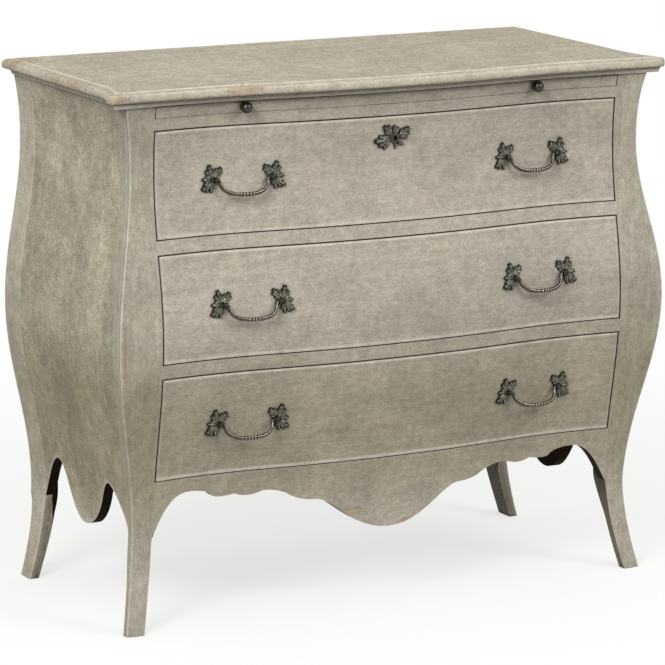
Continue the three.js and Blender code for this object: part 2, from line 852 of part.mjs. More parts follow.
function pivotFrame([left, right]) {
  const axis = right.clone().sub(left).normalize();
  const up = vector(0, 0, 1);
  const back = up.clone().cross(axis);
  const middle = left.clone().add(right).divideScalar(2);
  return new THREE.Matrix4().makeBasis(axis, back, up).setPosition(middle);
}

// Ear that carries one pin of the bail, seen along the pivot, with its foot in the casting
function ear(side, span) {
  const foot = pivotStandoff - leafThickness / 2;
  const shape = new THREE.Shape();
  shape.moveTo(foot, -earRadius);
  shape.lineTo(foot, earRadius);
  shape.absarc(0, 0, earRadius, Math.PI / 2, Math.PI * 3 / 2, false);
  const bore = new THREE.Path();
  bore.absarc(0, 0, pinRadius + pinPlay, 0, Math.PI * 2, true);
  shape.holes.push(bore);
  const options = { depth: earWidth, bevelEnabled: false, curveSegments: boreSteps };
  const geometry = new THREE.ExtrudeGeometry(shape, options);
  const [back, up, right] = [vector(0, 1, 0), vector(0, 0, 1), vector(1, 0, 0)];
  geometry.applyMatrix4(new THREE.Matrix4().makeBasis(back, up, right));
  return geometry.translate(side * span - earWidth / 2, 0, 0);
}

// The bail's line, from pin to pin, hanging down and bowed away from the front
function bailPath(span) {
  const pinEnd = span + pinLength / 2;
  const arm = span - pinLength / 2 - bailRadius;
  const half = [
    [pinEnd, 0], [span, 0], [arm + bailRadius, 0], [arm, bailRadius], [arm - bailRadius / 2, bailShoulder],
    ...bailBendShares.map(([out, down]) => [arm * out, bailDrop * down]),
  ];
  const bow = (drop) => -bailBow * (drop / bailDrop) ** bailBowPower;
  const left = half.map(([x, drop]) => vector(-x, bow(drop), -drop));
  const right = half.map(([x, drop]) => vector(x, bow(drop), -drop)).reverse();
  return [...left, vector(0, -bailBow, -bailDrop), ...right];
}

// Round bar through the points of a path, thicker at the grip than at the pins
function bail(span) {
  const path = bailPath(span);
  const last = path.length - 1;
  const rings = path.map((point, i) => {
    const tangent = path[Math.min(i + 1, last)].clone().sub(path[Math.max(i - 1, 0)]).normalize();
    const normal = tangent.clone().cross(vector(0, 1, 0)).normalize();
    const across = normal.clone().cross(tangent);
    const fromEnd = Math.min(i, last - i);
    const gripShare = clampShare((fromEnd - pinRings) / (last / 2 - pinRings));
    const radius = fromEnd < pinRings ? pinRadius : blend(bailRadius, bailGripRadius, gripShare);
    return steps(0, 360, barSides).slice(1).map((angle) => {
      const turn = THREE.MathUtils.degToRad(angle);
      return point.clone().addScaledVector(across, radius * Math.cos(turn))
        .addScaledVector(normal, radius * Math.sin(turn));
    });
  });
  return loft(rings, ['y', 'z']);
}

function addHandle(name, x, height) {
  const pair = pivots(x, height);
  const frame = pivotFrame(pair);
  const span = pair[0].distanceTo(pair[1]) / 2;
  add(`${name}_bail`, bail(span).applyMatrix4(frame), bronze);
  for (const [word, side] of [['left', -1], ['right', 1]]) {
    const plate = drape(leafCluster(side), x + side * pivotSpacing / 2, height);
    add(`${name}_leaf_${word}`, join(plate, ear(side, span).applyMatrix4(frame)), bronze);
  }
}

// Escutcheon, keyway and lock

function keyCentreHeight() {
  return drawerBottomHeight(0) + drawerOpening / 2 + keyHeight;
}

function keyholeShape() {
  const half = keyholeWidth / 2;
  const shape = new THREE.Shape();
  shape.moveTo(-half, -keyholeLength);
  shape.lineTo(half, -keyholeLength);
  shape.lineTo(half, -keyholeRadius);
  shape.absarc(0, 0, keyholeRadius, -Math.PI / 3, Math.PI * 4 / 3, false);
  shape.lineTo(-half, -keyholeRadius);
  return shape;
}

function keyhole(depth) {
  const options = { depth, bevelEnabled: false, curveSegments: boreSteps };
  return new THREE.ExtrudeGeometry(keyholeShape(), options);
}

function keyway() {
  const middle = keyCentreHeight();
  const depth = frontThickness + overrun;
  return keyhole(depth).rotateX(Math.PI / 2).translate(0, overrun - frontFace(0, middle) - lipDrop, middle);
}

function addEscutcheon() {
  const middle = keyCentreHeight();
  const plate = join(stem(escutcheonBoss), casting(escutcheonEdgeShares, escutcheonReach, 1));
  const hole = keyhole(overrun * 2).translate(0, 0, -overrun);
  add('escutcheon', drape(cut(plate, hole), 0, middle), bronze);
}

function addLock() {
  const floor = drawerBottomHeight(0);
  const bottom = floor + drawerGap;
  const top = floor + drawerOpening - drawerGap;
  const face = glueLine - drawerFrontBack(bottom, top);
  add('drawer_lock', box(-lockWidth / 2, lockWidth / 2, face, face + lockThickness,
    top - lockHeight, top - drawerGap), steel);
}

// Assembly

add('top_board', topBoard(), topPaint);
add('case_top', caseTopBoard(), paint);
addPair('front_post', frontPost(), paint);
addPair('rear_post', rearPost(), sidePaint);
addPair('side_panel', sidePanel(), sidePaint);
add('back_panel', backPanel(), bareWood);
add('front_apron', apron(), paint);
for (let i = 0; i < drawerCount; i += 1) {
  const floor = drawerBottomHeight(i);
  addDrawer(i);
  const lowest = i === drawerCount - 1;
  addRunners(`runner_${i + 1}`, floor, lowest ? apronBack(floor - runnerThickness) : railBack(floor));
  const ceiling = floor + drawerOpening;
  const height = i === 0 ? slideRailHeight : railHeight;
  add(i === 0 ? 'slide_rail' : `drawer_rail_${i}`, rail(ceiling, ceiling + height), paint);
  for (const [word, side] of [['left', -1], ['right', 1]]) {
    addHandle(`handle_${i + 1}_${word}`, side * openingHalf * handleShare, floor + drawerOpening / 2);
  }
}
addRunners('slide_runner', slideBottomHeight(), railBack(slideBottomHeight()));
addSlide();
addEscutcheon();
addLock();

// The origin is the middle of the footprint, on the floor
const bounds = new THREE.Box3().setFromObject(chest);
chest.position.set(0, -(bounds.min.y + bounds.max.y) / 2, -bounds.min.z);

export default chest;
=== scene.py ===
"""Looks of a bombe chest of three drawers with a brushing slide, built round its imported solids.

Shapes are worked out in millimetres: x to the right, y 0 at the back of the case and
negative towards the front, z up. Depth is counted forwards from the back of the case.
"""
import math

import bmesh
import bpy
import numpy as np
from mathutils import Matrix, Vector


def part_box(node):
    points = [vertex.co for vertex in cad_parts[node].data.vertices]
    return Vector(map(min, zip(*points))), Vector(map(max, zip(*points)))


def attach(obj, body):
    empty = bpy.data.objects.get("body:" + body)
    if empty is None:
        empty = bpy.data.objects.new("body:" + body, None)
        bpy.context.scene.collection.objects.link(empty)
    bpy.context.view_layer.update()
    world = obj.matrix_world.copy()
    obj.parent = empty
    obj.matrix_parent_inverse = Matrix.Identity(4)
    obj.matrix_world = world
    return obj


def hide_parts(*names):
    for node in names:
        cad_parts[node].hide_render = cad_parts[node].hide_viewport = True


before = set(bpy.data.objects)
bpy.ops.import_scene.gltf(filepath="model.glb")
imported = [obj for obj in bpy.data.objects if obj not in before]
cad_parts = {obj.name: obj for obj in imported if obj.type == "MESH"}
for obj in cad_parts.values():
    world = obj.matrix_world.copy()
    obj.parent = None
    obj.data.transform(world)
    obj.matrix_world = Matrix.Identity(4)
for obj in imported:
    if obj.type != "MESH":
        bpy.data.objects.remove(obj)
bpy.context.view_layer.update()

MM = 0.001
GLUE = 0.2
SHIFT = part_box("back_panel")[1].y + GLUE * MM

# The case
WIDTH = 953
DEPTH = 440
REAR_INSET = 4
ANKLE = 155
BELLY = 482
WAIST = 755
HEIGHT = 890
TOP_THICKNESS = 17
MOULDING_HEIGHT = 9
CASE_TOP = HEIGHT - TOP_THICKNESS - MOULDING_HEIGHT
CORNER_SWING = (15.5, 5.5, 35.5, 11.5)
FRONT_SWING = (21, 4, 38, 11)
REAR_SWING = (13, 16, 30, 11)
HOLLOW = WIDTH / 2 * 0.675
CROWN = 20
FLARE = 15
SIDE_FLARE = 75
POST_WIDTH = 43
POST_DEPTH = 45
ARRIS = 1.5
REAR_POST = 62
PANEL = 18
OPENING = WIDTH / 2 - POST_WIDTH

# Top board: how far it stands out, its ears at the front corners and its nose
TOP_OVERHANG = 20
TOP_FRONT_OVERHANG = 22
TOP_EAR = 19
TOP_SWEEP = 95
TOP_FLARE = FLARE - 13
TOP_CORNER = 16
TOP_REAR_CORNER = 5
NOSE_LOW = 5
NOSE_LOW_ROUND = 3
NOSE_HIGH = 10.5
NOSE_HIGH_ROUND = 14.5
NOSE_POWER = 2 / 3.2
MOULDING_FOOT = 13
MOULDING_HEAD = 8.5

# Legs
FOOT_WIDTH = 31
LEG_WIDTH = 34.5
FOOT_DEPTH = 21.5
LEG_DEPTH = 25
SIDE_STEP = 1.2
REAR_LEG = 135
REAR_FOOT_WIDTH = 17
REAR_LEG_WIDTH = 22
REAR_FOOT_KICK = 19.5
REAR_FOOT_FRONT = 57.5
REAR_LEG_FRONT = 58

# Front
APRON_TOP = 248
APRON_THICKNESS = 22
RAIL = 23
SLIDE_RAIL = 19.5
SLIDE_OPENING = 21.5
RAIL_DEPTH = 60
DRAWER_OPENING = (CASE_TOP - SLIDE_OPENING - SLIDE_RAIL - 2 * RAIL - APRON_TOP) / 3
DRAWER_GAP = 1.5
FRONT_THICKNESS = 16
LIP = 6.5
LIP_DROP = 2
BEAD_HEIGHT = 0.45
BEAD_RISE = 3.3
BEAD_WIDTH = 1.5
SLIDE_BOTTOM = CASE_TOP - SLIDE_OPENING + 0.3
SLIDE_THICKNESS = 19

# Hardware
HANDLE = OPENING * 0.6265
PIVOT_HALF = 49
STANDOFF = 5.9
PIN = 1.9
BORE = 2.2
BAIL_DROP = 23.4
BAIL_BOW = 13.1
BAIL_SPREAD = 42.5
LEAF_SEAT = 0.75
KNOB = OPENING * 0.631
KEY_HEIGHT = 50
KEY_RADIUS = 2.8
KEY_SLOT = 1.5
KEY_NECK = 2.36
KEY_DROP = 9.6
EAR_RADIUS = 4.3
EAR_HALF = 2.75
BAIL_POWER = 2 / 2.65
BAIL_RADIUS = 3
RING_RADIUS = 3.3
RING_PITCH = 5.5
RINGS_END = 11.5
COLLAR_END = 14
COLLAR_RADIUS = 3.7
FLUTES = 6
# Turn round the bail at which its painted highlight runs
HIGHLIGHT_SIDE = 3.6


def colour(red, green, blue):
    """A colour as the eye sees it on screen, 0 to 255, as the shader takes it."""
    return tuple((c / 255) ** 2.2 for c in (red, green, blue)) + (1,)


def tint(base, factors):
    return tuple(c * k for c, k in zip(base, factors)) + (1,)


# Shapes of the case


def blend(start, end, share):
    return start + (end - start) * (1 - np.cos(np.pi * share)) / 2


def swing(z, sizes):
    z = np.asarray(z, float)
    kick, pinch, swell, flare = sizes
    foot = -pinch + (kick + pinch) * np.clip(1 - z / ANKLE, 0, 1) ** 1.65
    low = blend(-pinch, swell, (z - ANKLE) / (BELLY - ANKLE))
    high = blend(swell, 0, (z - BELLY) / (WAIST - BELLY))
    head = flare * np.clip((z - WAIST) / (CASE_TOP - WAIST), 0, None) ** 2.3
    return np.select([z < ANKLE, z < BELLY, z < WAIST], [foot, low, high], head)


def corner_half(z):
    return WIDTH / 2 + swing(z, CORNER_SWING)


def corner_depth(z):
    return DEPTH + swing(z, FRONT_SWING)


def rear_half(z):
    return WIDTH / 2 - REAR_INSET + swing(z, REAR_SWING)


def side_face(depth, z):
    """Half width of the case."""
    start = corner_depth(z) - SIDE_FLARE
    share = np.clip((depth - start) / SIDE_FLARE, 0, 1) ** 2
    return rear_half(z) + (corner_half(z) - rear_half(z)) * share


def serpentine(x, corner, hollow_depth, flare):
    side = np.abs(x)
    crown = CROWN * (1 - np.clip(side / HOLLOW, 0, 1) ** 2.4) ** 2
    out = flare * (np.clip(side - HOLLOW, 0, None) / (corner - HOLLOW)) ** 2
    return hollow_depth + crown + out


def front_face(x, z):
    return serpentine(x, corner_half(z), corner_depth(z) - FLARE, FLARE)


def arc(centre, radius, start, end, count):
    turns = np.radians(np.linspace(start, end, count + 1))
    return [(centre[0] + radius * math.cos(t), centre[1] + radius * math.sin(t)) for t in turns]


def turns_round(count):
    return np.radians(np.linspace(0, 360, count + 1)[:-1])


def curved_line(start, curves, count):
    """Points along Bezier curves, each of which starts where the last one ends."""
    line = [start]
    share = np.linspace(0, 1, count + 1)[1:, None]
    for curve in curves:
        points = np.array([line[-1], *curve], float)
        order = len(curve)
        line.extend(sum(math.comb(order, i) * share**i * (1 - share) ** (order - i) * points[i]
                        for i in range(order + 1)))
    return np.array(line)


# Meshes


def border_of(rows, columns):
    """Rows and columns of the points round the edge of a sheet."""
    border = [(i, 0) for i in range(rows - 1)]
    border += [(rows - 1, j) for j in range(columns - 1)]
    border += [(i, columns - 1) for i in range(rows - 1, 0, -1)]
    return border + [(0, j) for j in range(columns - 1, 0, -1)]


def slab(front, back, *offsets):
    """A closed body between two sheets of points, each an array of rows and columns.

    Each offset adds a line round the edge, that far from the rim of the front sheet."""
    rows, columns = front.shape[:2]

    def at(side, row, column):
        return (side * rows + row) * columns + column

    faces = [(at(s, i, j), at(s, i + 1, j), at(s, i + 1, j + 1), at(s, i, j + 1))
             for s in (0, 1) for i in range(rows - 1) for j in range(columns - 1)]
    border = border_of(rows, columns)
    rim = front[tuple(np.transpose(border))]
    count = len(border)
    lines = [[at(0, *spot) for spot in border]]
    for index in range(len(offsets)):
        lines.append([2 * rows * columns + index * count + i for i in range(count)])
    lines.append([at(1, *spot) for spot in border])
    for near, far in zip(lines, lines[1:]):
        for i in range(count):
            j = (i + 1) % count
            faces.append((near[i], near[j], far[j], far[i]))
    points = [front.reshape(-1, 3), back.reshape(-1, 3), *(rim + offset for offset in offsets)]
    return np.concatenate(points), faces


def marks_of(face, back, *lines):
    """Values of a mark on a slab: those of its face, and one for its back and each line.

    A line may have a pair of values, where the last column of the sheet has its own."""
    last = np.array([column == face.shape[1] - 1 for _, column in border_of(*face.shape)])
    parts = [face.ravel(), np.full(face.size, back)]
    for line in lines:
        most, top = line if isinstance(line, tuple) else (line, line)
        parts.append(np.where(last, top, most))
    return np.concatenate(parts)


def loft(rings):
    """A closed body through rings of points."""
    count, around = rings.shape[:2]
    faces = [(r * around + i, r * around + (i + 1) % around,
              (r + 1) * around + (i + 1) % around, (r + 1) * around + i)
             for r in range(count - 1) for i in range(around)]
    faces += [tuple(range(around)), tuple((count - 1) * around + i for i in range(around))]
    return rings.reshape(-1, rings.shape[2]), faces


def gather(bodies):
    """Several bodies as one; a fourth column, if there is one, says how bright a point is painted,
    from wear, painted highlight and painted shade.
    """
    points, faces, start = [], [], 0
    for body_points, body_faces in bodies:
        points.append(np.pad(body_points, ((0, 0), (0, 4 - body_points.shape[1]))))
        faces += [tuple(start + i for i in face) for face in body_faces]
        start += len(body_points)
    return np.concatenate(points), faces


def tube(rings):
    """A body through rings of points, the last joined to the first."""
    points, faces = loft(rings)
    count, around = rings.shape[:2]
    last = (count - 1) * around
    joint = [(i, (i + 1) % around, last + (i + 1) % around, last + i) for i in range(around)]
    return points, faces[:-2] + joint


def mirror(body):
    points, faces = body
    return points * (-1, 1, 1), faces


def new_object(name, data):
    item = bpy.data.objects.new(name, data)
    bpy.context.scene.collection.objects.link(item)
    return item


def make(name, body, material, rides, slot, stands_for=(), sharp=38, **marks):
    """A piece from points in millimetres and faces, smooth but for its sharp edges.

    marks are values from 0 to 1 for each point, which the paint and bronze read."""
    points, faces = body
    if points.shape[1] == 4:
        marks["wear_and_painted_light"] = points[:, 3]
    mesh = bpy.data.meshes.new(name)
    mesh.from_pydata((points[:, :3] * MM + (0, SHIFT, 0)).tolist(), [], faces)
    for mark, values in marks.items():
        shares = np.asarray(values, np.float32).ravel()
        mesh.attributes.new(mark, "FLOAT", "POINT").data.foreach_set("value", shares)
    shell = bmesh.new()
    shell.from_mesh(mesh)
    bmesh.ops.recalc_face_normals(shell, faces=shell.faces)
    shell.to_mesh(mesh)
    shell.free()
    mesh.materials.append(material)
    mesh.polygons.foreach_set("use_smooth", [True] * len(mesh.polygons))
    mesh.set_sharp_from_angle(angle=math.radians(sharp))
    piece = new_object(name, mesh)
    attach(piece, rides)
    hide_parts(*stands_for)
    return piece


# Materials


class Wiring:
    """The shader nodes of a material or world, wired by short calls."""

    def __init__(self, holder):
        holder.use_nodes = True
        self.tree = holder.node_tree
        self.tree.nodes.clear()

    def node(self, kind, inputs=None, **settings):
        node = self.tree.nodes.new("ShaderNode" + kind)
        for key, value in settings.items():
            setattr(node, key, value)
        self.feed(node, inputs or {})
        return node

    def feed(self, node, inputs):
        for key, value in inputs.items():
            if isinstance(value, bpy.types.NodeSocket):
                self.tree.links.new(value, node.inputs[key])
            else:
                node.inputs[key].default_value = value


class Finish(Wiring):
    """A material, and the kinds of node that its looks are made of."""

    def __init__(self, name):
        self.material = bpy.data.materials.new(name)
        super().__init__(self.material)
        self.shader = self.node("BsdfPrincipled")
        self.output = self.node("OutputMaterial", {0: self.shader.outputs[0]})
        self.place = self.node("TexCoord").outputs["Object"]

    def math(self, operation, *values):
        return self.node("Math", dict(enumerate(values)), operation=operation).outputs[0]

    def mark(self, name):
        """A mark that a mesh carries: wear, painted shade, bare wood, or the wear, painted
        highlight and painted shade of bronze.
        """
        return self.node("Attribute", attribute_name=name).outputs["Fac"]

    def openness(self, distance, samples):
        """1 in the open and less in a hollow or corner of that size."""
        inputs = {"Distance": distance}
        return self.node("AmbientOcclusion", inputs, samples=samples).outputs["AO"]

    def noise(self, scale, stretch=(1, 1, 1), detail=4, roughness=0.5, distortion=0):
        mapped = self.node("Mapping", {"Vector": self.place, "Scale": stretch}).outputs[0]
        return self.node("TexNoise", {
            "Vector": mapped, "Scale": scale, "Detail": detail, "Roughness": roughness,
            "Distortion": distortion}).outputs[0]

    def between(self, value, low, high, start=0, end=1):
        """Goes smoothly from start to end as a value goes from low to high."""
        inputs = {0: value, 1: low, 2: high, 3: start, 4: end}
        return self.node("MapRange", inputs, interpolation_type="SMOOTHSTEP").outputs[0]

    def mix(self, share, first, second, kind="MIX"):
        return self.node("Mix", {0: share, 6: first, 7: second},
                         data_type="RGBA", blend_type=kind).outputs[2]

    def shade(self, tone, value, dark, light, low=0.3, high=0.7):
        """Darkens and lightens a colour as a value goes from low to high."""
        grey = self.node("CombineColor", {
            i: self.between(value, low, high, dark, light) for i in range(3)}).outputs[0]
        return self.mix(1, tone, grey, "MULTIPLY")

    def spot(self, centre, radii, ragged):
        """1 inside a worn spot round a point in millimetres, with ragged edges."""
        at = (centre[0] * MM, centre[1] * MM + SHIFT, centre[2] * MM)
        away = self.node("VectorMath", {0: self.place, 1: at}, operation="SUBTRACT")
        scaled = self.node("VectorMath", {
            0: away.outputs[0], 1: tuple(1 / (r * MM) for r in radii)}, operation="MULTIPLY")
        reach = self.node("VectorMath", {0: scaled.outputs[0]}, operation="LENGTH")
        near = self.math("ADD", reach.outputs["Value"], ragged)
        return self.between(near, 1.6, 1.15)

    def surface(self, inputs, heights=()):
        """Feeds the shader; heights are (value, depth in metres) for the bump."""
        normal = {}
        for value, depth in heights:
            bump = self.node("Bump", {"Height": value, "Distance": depth, **normal})
            normal = {"Normal": bump.outputs[0]}
        self.feed(self.shader, {**inputs, **normal})
        return self.material


def edge_share(finish, radius):
    """1 on an edge and 0 on the flat, from how the normal turns there."""
    rounded = finish.node("Bevel", {"Radius": radius}, samples=6).outputs[0]
    flat = finish.node("NewGeometry").outputs["Normal"]
    dot = finish.node("VectorMath", {0: rounded, 1: flat}, operation="DOT_PRODUCT")
    return finish.math("SUBTRACT", 1, dot.outputs["Value"])


def paint(name, base, along, spots=(), streaks=0.08, clouds=0.16, low=0.9,
          grit=(600, (1, 1, 1), 0.33)):
    """Old paint over wood: mottled, streaked along the grain, pale and worn on edges, with painted
    shade in hollows, in gaps and under the belly.

    low is how bright the painted shade under the belly leaves it; grit is the fine grain's scale,
    stretch and depth."""
    f = Finish(name)
    grain = {"x": (0.06, 1, 1), "z": (1, 1, 0.06)}[along]
    size, stretch, rough = grit
    cloud = f.noise(5, roughness=0.55)
    smudge = f.noise(17, stretch=(1, 1, 0.7), detail=5, roughness=0.6)
    patch = f.noise(42, detail=6, roughness=0.7)
    blot = f.noise(90, stretch=stretch, roughness=0.6)
    streak = f.noise(110, stretch=grain, roughness=0.65)
    hatch = f.noise(330, stretch=tuple(0.2 + 0.8 * g for g in grain), detail=3, roughness=0.7)
    speck = f.noise(size, stretch=stretch, detail=5, roughness=0.8)
    hue = f.noise(9, stretch=(1, 1, 1.6), roughness=0.6)
    tone = f.mix(f.between(hue, 0.35, 0.5, 0.8, 0), base, tint(base, (0.97, 1.0, 0.96)))
    tone = f.mix(f.between(hue, 0.52, 0.68, 0, 0.9), tone, tint(base, (1.01, 0.995, 1)))
    tone = f.shade(tone, cloud, 1 - clouds, 1 + clouds * 0.6)
    tone = f.shade(tone, smudge, 1 - clouds * 0.8, 1 + clouds * 0.3, 0.35, 0.65)
    tone = f.shade(tone, patch, 0.93, 1.06)
    tone = f.shade(tone, blot, 1 - rough / 4, 1 + rough / 4)
    tone = f.shade(tone, streak, 1 - streaks, 1 + streaks)
    tone = f.shade(tone, hatch, 0.9, 1.1)
    tone = f.shade(tone, speck, 1 - rough, 1 + rough * 0.9, 0.32, 0.68)
    # Painted shade under the belly, darker and yellower: full from 0.24 to 0.36 m up, none above
    # 0.5 m or below 0.12 m
    height = f.node("SeparateXYZ", {0: f.place}).outputs["Z"]
    under = f.math("MULTIPLY", f.between(height, 0.5, 0.36), f.between(height, 0.12, 0.24))
    tone = f.mix(under, tone, (low * 1.01, low * 0.99, low * 0.9, 1), "MULTIPLY")
    edge = edge_share(f, 0.0022)
    worn = f.mark("worn")
    wear_and_painted_highlight = f.math("MAXIMUM", f.between(edge, 0.03, 0.22), worn)
    wear_and_painted_highlight = f.math("MULTIPLY", wear_and_painted_highlight, f.between(patch, 0.35, 0.6, 0.45, 1))
    tone = f.mix(f.math("MULTIPLY", wear_and_painted_highlight, 0.85), tone, colour(216, 209, 194))
    ragged = f.math("MULTIPLY", f.math("SUBTRACT", f.noise(150, detail=6, roughness=0.85), 0.5), 6)
    flecks = f.between(speck, 0.6, 0.72)
    brown = f.math("MULTIPLY", flecks, f.math("ADD", f.math("MULTIPLY", wear_and_painted_highlight, 0.4), 0.04))
    brown = f.math("MAXIMUM", brown, f.mark("bare"))
    for centre, radii, much in spots:
        brown = f.math("MAXIMUM", brown, f.math("MULTIPLY", f.spot(centre, radii, ragged), much))
    bare = f.mix(f.between(streak, 0.4, 0.6), colour(140, 114, 86), colour(184, 160, 130))
    tone = f.mix(brown, tone, bare)
    # Painted shade in corners and recesses, from ambient occlusion
    tone = f.shade(tone, f.openness(0.05, 4), 0.84, 1, 0.45, 0.9)
    # Painted shade in crevices, from a short ambient occlusion, kept off worn places
    hollow = f.openness(0.01, 6)
    crevice_shade = f.math("MULTIPLY", f.between(hollow, 0.8, 0.3, 0, 0.9), f.math("SUBTRACT", 1, worn))
    tone = f.mix(crevice_shade, tone, colour(48, 38, 28))
    # Painted shade from the mesh's mark: in gaps, on inner faces, backs and undersides, with less
    # specular there
    grime = f.mark("grime")
    tone = f.mix(grime, tone, colour(36, 28, 18))
    inputs = {"Base Color": tone, "Roughness": f.between(speck, 0.3, 0.7, 0.6, 0.8),
              "Specular IOR Level": f.between(grime, 0.2, 0.9, 0.3, 0.04)}
    heights = [(patch, 0.0005), (hatch, 0.00016), (speck, 0.0004), (brown, -0.0003)]
    return f.surface(inputs, heights)


def bronze(name, base, bright, patina, much, gloss=0.5):
    """Cast antique bronze: dark hollows, rubbed edges, some verdigris, and the painted highlights
    and painted shade that the pieces' marks carry.
    """
    f = Finish(name)
    blotch = f.noise(140, detail=5, roughness=0.6)
    grain = f.noise(900, detail=3)
    tone = f.mix(f.between(blotch, 0.35, 0.65), base, bright)
    green = f.math("MULTIPLY", f.between(f.noise(260, roughness=0.7), 0.5, 0.62), much)
    tone = f.mix(green, tone, patina)
    edge = f.between(edge_share(f, 0.0009), 0.01, 0.16)
    tone = f.mix(f.math("MULTIPLY", edge, 0.5), tone, colour(168, 152, 124))
    # The mesh's mark: rubbed ribs and veins where it is positive, and painted highlight and
    # painted shade on bails, leaf outlines and the keyhole
    wear_and_painted_light = f.mark("wear_and_painted_light")
    wear_and_painted_highlight = f.math("MULTIPLY", wear_and_painted_light, f.between(f.noise(600, detail=3), 0.42, 0.58, 0.25, 1))
    tone = f.mix(wear_and_painted_highlight, tone, colour(208, 204, 180))
    # Painted shade, near black, where the mark is negative
    tone = f.mix(f.between(wear_and_painted_light, 0, -1), tone, colour(8, 7, 6))
    hollow = f.openness(0.004, 6)
    tone = f.mix(f.between(hollow, 0.8, 0.2, 0, 0.85), tone, colour(22, 18, 14))
    polish = f.between(blotch, 0.3, 0.7, 0.16, 0.3)
    roughness = f.math("ADD", f.math("MULTIPLY", green, 0.3), polish)
    inputs = {"Base Color": tone, "Roughness": roughness, "Metallic": 0.4,
              "Specular IOR Level": gloss}
    return f.surface(inputs, [(blotch, 0.0003), (grain, 0.0001)])


def wood(name, light, dark, along):
    """Bare softwood with growth rings along one axis."""
    f = Finish(name)
    stretch = {"x": (0.04, 1, 1), "y": (1, 0.04, 1), "z": (1, 1, 0.04)}[along]
    rings = f.noise(38, stretch=stretch, distortion=1.2)
    wave = f.math("FRACT", f.math("MULTIPLY", rings, 9))
    fibre = f.noise(420, stretch=stretch, detail=3)
    tone = f.mix(f.between(wave, 0.1, 0.95, 0, 0.75), light, dark)
    tone = f.mix(f.between(fibre, 0.45, 0.7, 0, 0.4), tone, dark)
    tone = f.mix(f.between(f.noise(9), 0.5, 0.75, 0, 0.4), tone, colour(96, 74, 52))
    inputs = {"Base Color": tone, "Roughness": f.between(fibre, 0.3, 0.7, 0.62, 0.85)}
    return f.surface(inputs, [(fibre, 0.0002), (wave, 0.0001)])


def steel(name):
    f = Finish(name)
    brushed = f.noise(700, stretch=(0.03, 1, 1), detail=3)
    stained = f.between(f.noise(80, detail=5), 0.45, 0.7)
    tone = f.mix(stained, colour(150, 147, 140), colour(104, 96, 86))
    polish = f.between(brushed, 0.3, 0.7, 0.35, 0.55)
    inputs = {"Base Color": tone, "Roughness": polish, "Metallic": 1}
    return f.surface(inputs, [(brushed, 0.00005)])


# Worn places, as centre and radii in millimetres and how bare they are
FRONT_SPOTS = (
    ((-203, -444, 655), (40, 30, 1.6), 0.35),
    ((-70, -442, 160), (16, 30, 4), 0.6),
    ((36, -440, 133), (10, 30, 3), 0.6),
    ((330, -440, 212), (9, 30, 3), 0.5),
    ((72, -470, 592), (26, 40, 6), 0.16),
    ((108, -460, 720), (20, 40, 8), 0.14),
)
POST_SPOTS = (
    ((-501, -474, 470), (3, 12, 30), 0.6),
    ((426, -431, 118), (5, 30, 12), 0.5),
)
TOP_SPOTS = (
    ((-284, -459, 883), (21, 14, 4.5), 0.6),
    ((-486, -20, 888), (22, 34, 9), 0.5),
    ((-516, -468, 884), (22, 14, 9), 0.55),
    ((-508, -250, 884), (12, 50, 7), 0.4),
)

front_paint = paint("front_paint", colour(182, 174, 160), "x", FRONT_SPOTS, 0.06, 0.1)
post_paint = paint("post_paint", colour(176, 169, 153), "z", POST_SPOTS, 0.08, 0.1)
side_paint = paint("side_paint", colour(183, 175, 155), "z", (), 0.07, 0.2, 0.78,
                   (460, (1, 0.6, 1), 0.46))
top_paint = paint("top_paint", colour(182, 174, 155), "x", TOP_SPOTS, 0.1, 0.08, 1,
                  (420, (1, 0.3, 1), 0.36))
leaf_bronze = bronze("leaf_bronze", colour(24, 20, 15), colour(50, 45, 35),
                     colour(84, 94, 77), 0.45)
bail_bronze = bronze("bail_bronze", colour(36, 27, 19), colour(64, 49, 36),
                     colour(80, 76, 60), 0.2, 0.6)
knob_bronze = bronze("knob_bronze", colour(26, 18, 13), colour(44, 31, 23),
                     colour(70, 60, 48), 0.2, 1)
wood_x = wood("wood_x", colour(196, 164, 122), colour(158, 122, 82), "x")
wood_y = wood("wood_y", colour(192, 160, 118), colour(154, 118, 80), "y")
back_wood = wood("back_wood", colour(150, 124, 92), colour(114, 88, 60), "z")
lock_steel = steel("lock_steel")


# Top


def top_outline(inset):
    """Outline of the top, or of a ring that lies inside it, seen from above."""
    rear = rear_half(CASE_TOP) + TOP_OVERHANG - inset
    corner = rear + TOP_EAR
    hollow_depth = corner_depth(CASE_TOP) - FLARE + TOP_FRONT_OVERHANG - inset
    flare = TOP_FLARE + inset / 2
    front_depth = hollow_depth + flare
    radius = max(TOP_CORNER - inset, 5)
    right = arc((rear - TOP_REAR_CORNER, 1 - inset), TOP_REAR_CORNER, 90, 0, 8)
    start = front_depth - TOP_SWEEP
    right += [(rear, -start * share) for share in (0.25, 0.5, 0.75)]
    for share in np.linspace(0, 1, 14):
        depth = start + (TOP_SWEEP - radius) * share
        right.append((rear + TOP_EAR * ((depth - start) / TOP_SWEEP) ** 2, -depth))
    right += arc((corner - radius, radius - front_depth), radius, -15, -75, 10)
    xs = np.linspace(corner - radius, 0, 61)
    right += list(zip(xs, -serpentine(xs, corner, hollow_depth, flare)))
    left = [(-x, y) for x, y in right[-2::-1]]
    return np.array(right + left)


def top_ring(inset, z):
    plan = top_outline(inset)
    return np.column_stack([plan, np.full(len(plan), z)])


